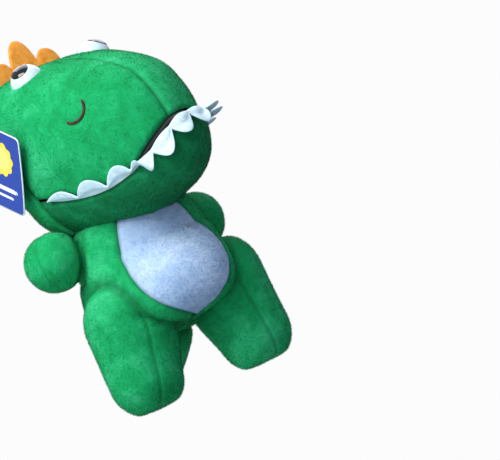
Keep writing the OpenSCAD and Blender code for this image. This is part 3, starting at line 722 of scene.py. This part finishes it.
def makeNostrils():
    # satin stitch: a thread tube laid on the skin along the arc, with a slanted rib per stitch
    bpy.context.view_layer.update()
    for side, name in ((-1, "right"), (1, "left")):
        skin = bpy.data.objects["headPanel" + name.title()]
        inside = skin.matrix_world.inverted()
        arc, facing = nostrilArc(side, 60)
        arc = turned(arc)
        facing = turned(facing + neckPlace) - neckPlace
        line = []
        for point in arc:
            hit, spot, _, _ = skin.ray_cast(inside @ Vector((point + 25 * facing) * mm),
                                            inside.to_3x3() @ Vector(-facing))
            line.append(np.array(skin.matrix_world @ spot) / mm if hit else point)
        line = np.array(line)
        for _ in range(6):
            line[1:-1] = (line[:-2] + 2 * line[1:-1] + line[2:]) / 4
        run = unit(np.gradient(line, axis=0))
        out = unit(facing - np.sum(run * facing, 1, keepdims=True) * run)
        wide = np.cross(run, out)
        phi = np.linspace(0, 2 * math.pi, 12, endpoint=False)
        along = np.linspace(0, 1, len(line))[:, None]
        taper = np.sqrt(np.clip(1 - (2 * along - 1) ** 8, 0.02, 1))
        rib = 1 + 0.12 * np.sin(2 * math.pi * along * 26 + phi[None, :])
        size = nostril["thread"] / 2 * taper * rib
        ring = wide[:, None] * np.cos(phi)[None, :, None]
        ring = ring + 0.8 * out[:, None] * np.sin(phi)[None, :, None]
        p = line[:, None] + out[:, None] * 0.25 + ring * size[..., None]
        obj = gridMesh("nostril" + name.title(), p, closed=True, ends=True)
        finishPiece(obj, mats["thread"], "head")
        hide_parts("nostril_" + name)


makeNostrils()
print("nostrils ready")

lining = {"sink": 2.6}  # mm below the lips


def lipPoint(th, lower):
    if lower:
        return jawPoint(th, mouthRing(th) + head["lipGap"])
    return headPoint(th, mouthRing(th) - head["lipGap"] - mouthLift(th))


def makeLining():
    # a black band from the snout's edge to the jaw's, sunk like a shallow trough between them
    th = np.linspace(-86, 86, 90)[None, :]
    t = np.linspace(-0.35, 1.35, 14)[:, None]
    th = th + 0 * t
    up = lipPoint(th, False)
    low = lipPoint(th, True)
    inner = unit(headCentre * [1, 1, 0] - up * [1, 1, 0])
    sink = lining["sink"] + 3.2 * (2 * t - 1) ** 2
    p = mix(up, low, np.clip(t, -0.1, 1.1)[..., None]) + inner * sink[..., None]
    obj = gridMesh("mouthLining", turned(p), centre=turned(headCentre), extra={"seam": 5 + 0 * th})
    finishPiece(obj, mats["lining"], "head")
    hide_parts("mouth_lining", "head_stuffing")


teeth = {"count": 11, "height": 10, "thick": 1.5, "span": 84, "out": 0.9}


def flop(th):
    # how far a tooth has turned from pointing up, in degrees, by its place round the mouth
    right = mix(26, 148, ease((th + 40) / 14))
    left = mix(148, 84, ease((th - 14) / 14))
    return np.where(th < 0, right, left)


def makeTeeth():
    # one strip: a rounded point per tooth, bending from the jaw's edge up or outward
    w = np.linspace(0, teeth["count"], teeth["count"] * 16 + 1)
    side = np.concatenate([np.linspace(0, 1, 12), np.linspace(1, 0, 12)[1:]])
    face = np.concatenate([np.ones(12), -np.ones(11)])
    W, V = np.meshgrid(w, side)
    faceSign = np.broadcast_to(face[:, None], W.shape)
    th = mix(-teeth["span"], teeth["span"], W / teeth["count"])
    b = np.radians(flop(th))
    a = np.radians(th)
    away = unit(np.stack([0.9 * np.sin(a), -np.cos(a), 0 * a], -1))
    up = np.array([0, 0, 1.0])
    root = lipPoint(th, True) - away * 0.6 + up * 0.4
    which = np.clip(np.floor(W), 0, teeth["count"] - 1).astype(int)
    flopped = ease((th + 42) / 10) * (1 - ease((th - 50) / 14))
    vary = np.random.RandomState(7).uniform(0.9, 1.1, teeth["count"])[which]
    reach = teeth["height"] * vary * (1 + 0.25 * flopped)
    reach = reach * (0.14 + 0.86 * np.abs(np.sin(np.pi * W)) ** mix(0.8, 1.0, flopped))
    reach = reach * (0.55 + 0.45 * ease(np.minimum(W, teeth["count"] - W)))
    bend = b[..., None] * ease(V * 2.2)[..., None]
    run = np.cos(bend) * up + np.sin(bend) * away
    rise = V * reach
    clear = (teeth["out"] + teeth["thick"] * 0.5) * ease(V * 3)
    p = root + away * clear[..., None] + run * rise[..., None]
    outFace = np.cos(bend) * away - np.sin(bend) * up
    half = teeth["thick"] / 2 * np.sqrt(np.clip(1 - V ** 6, 0, 1))
    p = p + outFace * (half * faceSign)[..., None]
    p = p + outFace * (0.5 * softNoise(p, 6, 5) * V)[..., None]
    obj = gridMesh("teethStrip", turned(p), closedRows=True, centre=None, extra={"seam": 5 + 0 * V})
    finishPiece(obj, mats["whiteFelt"], "head")
    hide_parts("teeth_strip")


makeLining()
makeTeeth()
print("mouth ready")


def feltStrip(name, base, out, side, height, thick, node, body, seed, sunk=1.2, lean=None, inHead=False):
    # a flat cut sheet that stands on a line: base plus way out times height, rounded at its rim
    t = np.concatenate([np.linspace(-1, 1, 15), np.linspace(1, -1, 15)[1:-1]])
    faceSign = np.concatenate([np.ones(15), -np.ones(13)])
    v = (t + 1) / 2
    rows = v[:, None]
    h = -sunk + rows * (height + sunk)[None, :]
    n = len(height)
    ends = np.minimum(np.arange(n), np.arange(n)[::-1]) / n
    rim = np.minimum(1, ((1 - rows) * (height + sunk)[None, :] / 1.1)) * np.minimum(1, 14 * ends)[None, :]
    half = thick / 2 * np.sqrt(np.clip(1 - (1 - rim) ** 2, 0, 1))
    p = base[None] + out[None] * h[..., None] + side[None] * (half * faceSign[:, None])[..., None]
    sway = 1.1 * softNoise(p * [1, 1, 0.6], 13, seed) * (rows ** 1.5) + 0.12 * softNoise(p, 2.2, seed + 1)
    p = p + side[None] * sway[..., None]
    if lean is not None:
        p = p + lean * (rows ** 2)[..., None]
    if inHead:
        p = turned(p)
    d = np.minimum((1 - rows) * (height + sunk)[None, :], 9)
    obj = gridMesh(name, p, closedRows=True, extra={"seam": d})
    finishPiece(obj, mats["orangeFelt"], body)
    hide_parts(node)
    return obj


crest = {"width": 48, "height": 21.5, "thick": 2.4, "sideShare": 0.6}


def makeCrest():
    # three rounded lobes on a low band: each lobe falls away as the root of 1 minus a power
    x = np.linspace(-crest["width"] / 2, crest["width"] / 2, 121)
    lobe = crest["width"] / 3

    def lobeHeight(c, w, h):
        return h * np.sqrt(np.clip(1 - np.abs((x - c) / w) ** 2.2, 0, 1))

    h = 0.24 * crest["height"] * (1 - np.abs(2 * x / crest["width"]) ** 6)
    h = np.maximum(h, lobeHeight(0, lobe * 0.56, crest["height"]))
    for c in (-lobe, lobe):
        h = np.maximum(h, lobeHeight(c, lobe * 0.5, crest["height"] * crest["sideShare"]))
    crown = head["base"] + head["height"] - head["height"] * 0.028 * (2 * x / (head["width"] * 0.54)) ** 2
    y = neckPlace[1] + headRows[1][4] * head["nape"]
    base = np.stack([x, y + 0 * x, crown], -1)
    out = np.broadcast_to(np.array([0, 0, 1.0]), base.shape)
    side = np.broadcast_to(np.array([0, -1.0, 0]), base.shape)
    feltStrip("headCrest", base, out, side, h, crest["thick"], "head_crest", "head", 41, inHead=True)


makeCrest()

torso = {
    "width": 84, "depth": 102, "neckRadius": 40, "squareness": 0.92,
    "low": nodeBox("side_panel_left")[0][2],
}
torso["tall"] = neckPlace[2] - torso["low"]
# rings below the neck: height above the underside, half width, belly reach and back reach
bodyRows = [[1.000, 0.920, 0.686, 0.882], [0.800, 0.965, 0.863, 0.940], [0.600, 1.000, 0.970, 0.980],
            [0.400, 0.990, 1.000, 1.000], [0.210, 0.900, 0.950, 0.950], [0.080, 0.700, 0.780, 0.780],
            [0.012, 0.360, 0.420, 0.420], [0.000, 0.000, 0.000, 0.000]]
bellyRows = [[12], [38], [43], [42], [38], [30], [18], [0]]
bodyCentre = np.array([0, 2, torso["low"] + torso["tall"] * 0.55])


def bodyPoint(th, s):
    # a ball at the neck that changes, ring by ring, into ovals with a full belly and back
    a = np.radians(th)
    ball = np.radians(90 * np.minimum(s, 1))
    top = neckPlace + torso["neckRadius"] * np.stack([np.sin(ball) * np.sin(a),
                                                      -np.sin(ball) * np.cos(a), np.cos(ball)], -1)
    q = splineRows(bodyRows, np.maximum(s - 1, 0))
    k = ease((s - 1) / 0.5)
    yc = mix(neckPlace[1], bodyCentre[1] * q[..., 2], k)
    e = mix(1, torso["squareness"], k)
    belly = yc + q[..., 2] * torso["depth"] / 2
    back = q[..., 3] * torso["depth"] / 2 - yc
    reach = mix(torso["neckRadius"], np.where(np.cos(a) >= 0, belly, back), k)
    wide = mix(torso["neckRadius"], torso["width"] / 2 * q[..., 1], k)
    low = np.stack([wide * signedPower(np.sin(a), e), yc - reach * signedPower(np.cos(a), e),
                    torso["low"] + torso["tall"] * q[..., 0]], -1)
    return np.where((s <= 1)[..., None], top, low)


def bodyDistance(p):
    # about how far p is outside the torso: the neck's ball above, the oval at its height below
    ss = np.linspace(0, 7, 600)
    z = torso["low"] + torso["tall"] * splineRows(bodyRows, ss)[:, 0]
    s = np.interp(-p[..., 2], -z, ss)
    q = splineRows(bodyRows, s)
    k = ease(s / 0.5)
    yc = mix(neckPlace[1], bodyCentre[1] * q[..., 2], k)
    e = mix(1, torso["squareness"], k)
    belly = yc + q[..., 2] * torso["depth"] / 2
    back = q[..., 3] * torso["depth"] / 2 - yc
    reach = np.maximum(mix(torso["neckRadius"], np.where(p[..., 1] <= yc, belly, back), k), 1)
    wide = np.maximum(mix(torso["neckRadius"], torso["width"] / 2 * q[..., 1], k), 1)
    v = np.abs(p[..., 0] / wide) ** (2 / e) + np.abs((p[..., 1] - yc) / reach) ** (2 / e)
    side = (v ** (e / 2) - 1) * np.minimum(wide, reach)
    under = torso["low"] - p[..., 2]
    ball = np.linalg.norm(p - neckPlace, axis=-1) - torso["neckRadius"]
    return np.where(p[..., 2] > neckPlace[2], ball, np.maximum(side, under))


limbs = {
    "armRight": {"root": shoulderPlace * [-1, 1, 1], "way": unit([-0.74, -0.6, 0.2]), "length": 18,
                 "radii": (12, 16.5)},
    "armLeft": {"root": shoulderPlace, "way": unit([0.66, 0.72, -0.2]), "length": 18,
                "radii": (12, 16.5)},
    "legRight": {"root": hipPlace * [-1, 1, 1], "radii": (25, 20.5)},
    "legLeft": {"root": hipPlace, "radii": (25, 20.5)},
    "tail": {"root": tailPlace, "radii": (20, 13)},
}
soleFlat = 2.8
for name, sign in (("legRight", -1), ("legLeft", 1)):
    foot = np.array([sign * abs(solePlace[0]), solePlace[1], 20.5 - soleFlat])
    limbs[name]["length"] = float(np.linalg.norm(foot - limbs[name]["root"]))
    limbs[name]["way"] = unit(foot - limbs[name]["root"])
tailTip = np.array([0, tailPlace[1] + 40, 20.0])
limbs["tail"]["length"] = float(np.linalg.norm(tailTip - tailPlace))
limbs["tail"]["way"] = unit(tailTip - tailPlace)


def limbDistance(p, limb):
    return roundCone(p, limb["root"], limb["root"] + limb["way"] * limb["length"], *limb["radii"])


bodySeam = {"depth": 1.3, "width": 1.6, "puff": 0.5, "reach": 8, "pucker": 0.5, "puckerSize": 4.5,
            "lumps": 0.5}
joinSeam = {"depth": 2.2, "width": 3.6}


def bodyPanel(name, th, s, edges, seed, node, material):
    p = bodyPoint(th, s)
    normal = outward(p, gridNormals(p), bodyCentre)
    d = edgeDistance(p, edges)
    q = sewn(p, normal, d, bodySeam, seed)
    for limb in limbs.values():
        gap = limbDistance(p, limb)
        q = q - normal * (joinSeam["depth"] * np.exp(-(gap / joinSeam["width"]) ** 2))[..., None]
        d = np.minimum(d, np.abs(gap) * 0.8)
    # the joins with the limbs count as seams here, so the velboa is painted darker there as shade between
    # the parts
    obj = gridMesh(name, q, centre=bodyCentre, extra={"seam": d})
    finishPiece(obj, material, "torso", pileSeed=seed)
    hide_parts(*node)
    return obj


def makeTorso():
    u = np.linspace(0, 1, 70)[:, None]
    s = mix(0.5, 6.6, u)
    half = np.maximum(0, splineRows(bellyRows, s)[..., 0])
    th = np.linspace(-1, 1, 34)[None, :] * half
    bodyPanel("bellyPanel", th, s + 0 * th, ("start", "end"), 51, ["belly_panel", "body_stuffing"],
              mats["white"])
    u = np.linspace(0, 1, 80)[:, None]
    s = mix(0.5, 7.97, u)
    half = np.maximum(0, splineRows(bellyRows, s)[..., 0])
    for side, name in ((-1, "right"), (1, "left")):
        th = side * mix(half, 180, np.linspace(0, 1, 60)[None, :])
        bodyPanel("sidePanel" + name.title(), th, s + 0 * th, ("start", "end"), 61 + side,
                  ["side_panel_" + name], mats["green"])


makeTorso()
print("torso ready")

limbSeam = {"depth": 0.7, "width": 1.3, "puff": 0.4, "reach": 6, "pucker": 0.45, "puckerSize": 4,
            "lumps": 0.6}


legFold = {"from": np.array([43, -29, 53.0]), "to": np.array([23, -36, 43.0]), "depth": 1.4, "width": 2.0}


def makeLimb(key, name, nodes, front, seed):
    # profile of two balls and the cone between them, swept round the limb's own axis
    limb = limbs[key]
    r0, r1 = limb["radii"]
    l = limb["length"]
    b = math.acos((r0 - r1) / l)
    arc0 = np.linspace(math.pi - 0.02, b, 18)
    arc1 = np.linspace(b, 0.02, 20)
    straight = np.linspace(0, 1, 14)[1:-1]
    radius = np.concatenate([r0 * np.sin(arc0), mix(r0, r1, straight) * math.sin(b), r1 * np.sin(arc1)])
    along = np.concatenate([r0 * np.cos(arc0), mix(r0 * math.cos(b), l + r1 * math.cos(b), straight),
                            l + r1 * np.cos(arc1)])
    phi = np.linspace(0, 2 * math.pi, 88, endpoint=False)
    axis = limb["way"]
    ex = unit(np.array(front) - np.dot(front, axis) * axis)
    ey = np.cross(axis, ex)
    ring = np.cos(phi)[None, :, None] * ex + np.sin(phi)[None, :, None] * ey
    p = limb["root"] + along[:, None, None] * axis + radius[:, None, None] * ring
    middle = limb["root"] + axis * l / 2
    normal = outward(p, gridNormals(p, True), middle)
    around = np.minimum(phi, 2 * math.pi - phi)
    toSeam = np.minimum(around, math.pi - around)[None, :] * radius[:, None]
    soft = 0.45 if "arm" in key else 1
    q = sewn(p, normal, toSeam, limbSeam | {"depth": limbSeam["depth"] * soft}, seed)
    if "leg" in key:
        mirror = np.array([1 if "Left" in key else -1, 1, 1])
        near, along = segmentDistance(p, legFold["from"] * mirror, legFold["to"] * mirror)
        q = q - normal * (legFold["depth"] * np.sin(np.pi * (0.12 + 0.76 * along))
                          * np.exp(-(near / legFold["width"]) ** 2))[..., None]
    gap = bodyDistance(p)
    q = q - normal * (joinSeam["depth"] * 0.8 * np.exp(-(gap / joinSeam["width"]) ** 2))[..., None]
    # painted shade: the limb's cloth is painted darker along its seam and where it meets the torso
    d = np.minimum(toSeam + 1.6 - 0.8 * soft, np.abs(gap) * 0.8)
    if "leg" in key:
        q[..., 2] = np.where(q[..., 2] < 2, 0.05 + 1.95 * np.exp((q[..., 2] - 2) / 1.95), q[..., 2])
    obj = gridMesh(name, q, closed=True, centre=middle, extra={"seam": d}, ends=True)
    finishPiece(obj, mats["green"], pileSeed=seed)
    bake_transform(obj)
    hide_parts(*nodes)
    return obj


for side in ("right", "left"):
    cap = side.title()
    arm = [f"arm_{part}_{side}" for part in ("panel_front", "panel_back", "stuffing")]
    leg = [f"leg_{part}_{side}" for part in ("panel_outer", "panel_inner", "stuffing")]
    makeLimb("arm" + cap, "armSkin" + cap, arm, (0, 0, 1), 71)
    makeLimb("leg" + cap, "legSkin" + cap, leg, (0, -1, 0), 81)
makeLimb("tail", "tailSkin", ["tail_panel_right", "tail_panel_left", "tail_stuffing"],
         (0, 0, 1), 91)
print("limbs ready")

plates = {"height": 13, "thick": 2.4, "lobes": 3, "top": 0.74, "low": 2.75}


def scallop(u, n):
    return 0.3 + 0.7 * np.abs(np.sin(np.pi * n * u)) ** 0.6


def makeSpinePlates():
    # rounded lobes along the middle of the back, from below the nape to the tail
    u = np.linspace(0, 1, 110)
    base = bodyPoint(180 + 0 * u, mix(plates["top"], plates["low"], u))
    out = unit(np.stack([0 * u, base[:, 1] - bodyCentre[1], 0.25 * (base[:, 2] - bodyCentre[2])], -1))
    h = plates["height"] * scallop(u, plates["lobes"]) * (0.5 + 0.5 * ease(6 * np.minimum(u, 1 - u)))
    side = np.broadcast_to(np.array([1.0, 0, 0]), base.shape)
    feltStrip("spinePlates", base, out, side, h, plates["thick"], "spine_plates", "torso", 101)


def makeTailPlates():
    limb = limbs["tail"]
    r0, r1 = limb["radii"]
    l = limb["length"]
    b = math.acos((r0 - r1) / l)
    start = 13
    straight = l + r1 * math.cos(b) - start
    z = np.linspace(0, 1, 80) * straight + start
    line = np.stack([(r0 - z * math.cos(b)) / math.sin(b), z, b + 0 * z], -1)
    a = np.linspace(b, math.radians(62), 30)[1:]
    line = np.concatenate([line, np.stack([r1 * np.sin(a), l + r1 * np.cos(a), a], -1)])
    axis = limb["way"]
    ex = unit(np.array([0, 0, 1.0]) - axis[2] * axis)
    base = limb["root"] + line[:, :1] * ex + line[:, 1:2] * axis
    out = np.sin(line[:, 2:]) * ex + np.cos(line[:, 2:]) * axis
    u = np.linspace(0, 1, len(line))
    h = plates["height"] * 0.85 * scallop(u, 3) * (0.5 + 0.5 * ease(6 * np.minimum(u, 1 - u)))
    side = np.broadcast_to(np.array([1.0, 0, 0]), base.shape)
    feltStrip("tailPlates", base, out, side, h, plates["thick"], "tail_plates", "tail", 111)


makeSpinePlates()
makeTailPlates()
print("plates ready")

def flatSheet(name, place, x, y, thick, across, down, cols, rows, bow, extra):
    # a thin sheet: across and down its face, bowed out along its third way, closed by its back
    w = np.linspace(0, across, cols)
    v = np.linspace(0, down, rows)
    fold = np.concatenate([v, v[::-1]])
    sign = np.concatenate([np.ones(rows), -np.ones(rows)])
    W, V = np.meshgrid(w, fold)
    z = np.cross(x, y)
    p = place + x * W[..., None] + y * V[..., None]
    edge = np.minimum(1, 40 * np.minimum(W, across - W) / across)
    p = p + z * (bow(W, V) + sign[:, None] * edge * thick / 2)[..., None]
    obj = gridMesh(name, p, closedRows=True, extra=extra(W, V))
    welded = bmesh.new()
    welded.from_mesh(obj.data)
    bmesh.ops.remove_doubles(welded, verts=welded.verts, dist=1e-6)
    welded.to_mesh(obj.data)
    welded.free()
    return obj


card = {
    "width": 34,
    "height": 47,
    "corner": 3,
    "thick": 0.7,
    "hole": 3.2,
    "sunAt": (17, 18),
    "sunRadius": 9,
    "rays": 1.6,
    "bars": ((33.5, 36, 5, 29, 1), (38.5, 40, 9, 29, 0.7)),  # down from and to, across from and to, corner
}


def roundedBox(u, v, lowU, highU, lowV, highV, corner):
    # how far a point is inside or outside a rectangle with round corners, below 0 inside
    du = np.maximum(lowU + corner - u, u - highU + corner)
    dv = np.maximum(lowV + corner - v, v - highV + corner)
    outside = np.hypot(np.maximum(du, 0), np.maximum(dv, 0))
    return outside + np.minimum(np.maximum(du, dv), 0) - corner


def makeCard():
    # rings of the rounded outline drawn in towards the hole's circle, front and back
    place = np.array([-(head["width"] / 2 + 4.5), neckPlace[1] - 22,
                      head["base"] + head["height"] * 0.632])
    down = np.array([0, 0.6, -0.8])
    along = np.array([0, 0.8, 0.6])
    middle = np.array([4.0, card["width"] - 6.0])
    phi = np.linspace(0, 2 * math.pi, 160, endpoint=False)
    way = np.stack([np.cos(phi), np.sin(phi)], -1)
    reach = np.full(len(phi), 0.0)
    step = 30.0
    for _ in range(16):
        trial = reach + step
        spot = middle + way * trial[:, None]
        inside = roundedBox(spot[:, 0], spot[:, 1], 0, card["height"], 0, card["width"],
                            card["corner"]) < 0
        reach = np.where(inside, trial, reach)
        step = step if inside.any() and step > 20 else step / 2
    t = np.linspace(0, 1, 40)[:, None]
    flat = middle + way * mix(card["hole"] / 2, reach[None, :], t)[..., None]
    face = np.concatenate([flat, flat[::-1]])
    sign = np.concatenate([np.ones(40), -np.ones(40)])[:, None]
    u, v = face[..., 0], face[..., 1]
    bow = 0.5 * np.sin(np.pi * u / card["height"]) - 0.25
    across = np.array([1.0, 0, 0]) * (bow + sign * card["thick"] / 2)[..., None]
    p = place + down * u[..., None] + along * v[..., None] + across
    sunU, sunV = card["sunAt"]
    turn = np.arctan2(u - sunU, v - sunV)
    sun = np.hypot(u - sunU, v - sunV) - card["sunRadius"] - card["rays"] * np.abs(np.cos(5 * turn))
    bar = np.minimum(*[roundedBox(u, v, *box) for box in card["bars"]])
    rim = -roundedBox(u, v, 0, card["height"], 0, card["width"], card["corner"])
    obj = gridMesh("cardTag", turned(p), closed=True, closedRows=True,
                   extra={"sun": sun, "bar": bar, "rim": rim})
    finishPiece(obj, mats["card"], "tag", smooth=0)
    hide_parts("hang_tag")


careLabel = {"width": 32, "length": 37, "thick": 0.5, "out": (0.55, 0.4, -0.73), "curl": 2.2}


def makeLabel():
    # hangs from its seam edge and curls like a shallow arch that grows towards its free end
    axis = unit(joints["label_flap"]["axis"])
    place = jointPlace("label_flap")
    out = unit(np.array(careLabel["out"]) - np.dot(careLabel["out"], axis) * axis)

    def bow(w, v):
        arch = (v / careLabel["length"]) ** 2 * np.sin(np.pi * w / careLabel["width"])
        return careLabel["curl"] * arch - 0.4 * np.sin(v / 5)

    def marks(w, v):
        return {"spot": np.hypot(w - 7, v - careLabel["length"] + 16)}

    obj = flatSheet("careLabel", place, axis, out, careLabel["thick"], careLabel["width"],
                    careLabel["length"], 65, 75, bow, marks)
    finishPiece(obj, mats["label"], "label", smooth=0)
    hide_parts("care_label")


makeCard()
makeLabel()
print("card and label ready")

keep = {"suction_cup": "pvc", "tag_fastener": "nylon"}
for side in ("right", "left"):
    keep["eye_dome_" + side] = "eyeWhite"
    keep["pupil_" + side] = "eyeBlack"
    keep["eye_washer_" + side] = "washer"
for node, material in keep.items():
    mesh = frame["nodes"][node].data
    mesh.materials.clear()
    mesh.materials.append(mats[material])

studio = {"key": 15, "fill": 2.5, "rim": 6, "low": 4, "world": 0.45, "wall": 1.0, "backdrop": "#fcfcfd"}


def makeStage():
    # a pale floor that is only there from above, so a low camera still sees past it
    p = np.stack(np.meshgrid(np.linspace(-900, 900, 2), np.linspace(-900, 900, 2)), -1)
    p = np.concatenate([p, np.zeros(p.shape[:2] + (1,)) - 0.4], -1)
    obj = gridMesh("floor", p, centre=np.array([0, 0, -900.0]))
    material, tree, shader, place = newMaterial("paper_floor")
    tone = noiseNode(tree, place, 60, 3, 0.5)
    tree.links.new(rampNode(tree, tone, [(0.2, linear("#eceded")), (0.8, linear("#f2f3f3"))]),
                   shader.inputs["Base Color"])
    shader.inputs["Roughness"].default_value = 0.85
    seeThrough = addNode(tree, "ShaderNodeBsdfTransparent")
    back = addNode(tree, "ShaderNodeNewGeometry").outputs["Backfacing"]
    seen = addNode(tree, "ShaderNodeLightPath").outputs["Is Camera Ray"]
    unseen = addNode(tree, "ShaderNodeMath", {"operation": "SUBTRACT"})
    unseen.inputs[0].default_value = 1
    tree.links.new(seen, unseen.inputs[1])
    clear = addNode(tree, "ShaderNodeMath", {"operation": "MAXIMUM"})
    tree.links.new(back, clear.inputs[0])
    tree.links.new(unseen.outputs[0], clear.inputs[1])
    both = addNode(tree, "ShaderNodeMixShader")
    tree.links.new(clear.outputs[0], both.inputs[0])
    tree.links.new(shader.outputs[0], both.inputs[1])
    tree.links.new(seeThrough.outputs[0], both.inputs[2])
    out = next(n for n in tree.nodes if n.type == "OUTPUT_MATERIAL")
    tree.links.new(both.outputs[0], out.inputs["Surface"])
    obj.data.materials.append(material)


def softLight(name, way, power, size, colour):
    # a square of light that stands off along a way from the middle of the toy
    data = bpy.data.lights.new(name, "AREA")
    data.energy = power
    data.size = size
    data.color = linear(colour)[:3]
    obj = bpy.data.objects.new(name, data)
    middle = Vector((0, 0, 0.12))
    place = middle + Vector(unit(way)) * 0.95
    aim = (place - middle).to_track_quat("Z", "Y")
    obj.matrix_world = Matrix.Translation(place) @ aim.to_matrix().to_4x4()
    bpy.context.scene.collection.objects.link(obj)


def makeLights():
    key = -0.75 * camX + 0.75 * camY + 0.75 * camBack
    softLight("keyWindow", key, studio["key"], 0.7, "#fffaf0")
    softLight("fillSky", -0.2 * camX + 0.1 * camY + 1.0 * camBack, studio["fill"], 1.2, "#eaf2ff")
    softLight("backSky", -camBack * 0.8 + camY * 0.9 - 0.2 * camX, studio["rim"], 1.0, "#f2f6ff")
    softLight("lowBounce", -0.8 * camX - 1.1 * camY + 0.25 * camBack, studio["low"], 0.8, "#eafff4")
    world = bpy.data.worlds.new("studio")
    bpy.context.scene.world = world
    world.use_nodes = True
    tree = world.node_tree
    tree.nodes.clear()
    seen = addNode(tree, "ShaderNodeLightPath").outputs["Is Camera Ray"]
    wall = addNode(tree, "ShaderNodeBackground", {"Color": linear(studio["backdrop"]),
                                                  "Strength": studio["wall"]})
    air = addNode(tree, "ShaderNodeBackground", {"Color": linear("#dfe8f2"), "Strength": studio["world"]})
    both = addNode(tree, "ShaderNodeMixShader")
    tree.links.new(seen, both.inputs[0])
    tree.links.new(air.outputs[0], both.inputs[1])
    tree.links.new(wall.outputs[0], both.inputs[2])
    out = addNode(tree, "ShaderNodeOutputWorld")
    tree.links.new(both.outputs[0], out.inputs["Surface"])


makeStage()
makeLights()
bpy.context.scene.view_settings.view_transform = "Standard"  # keeps the dyed cloth as strong as it is
print("stage ready")
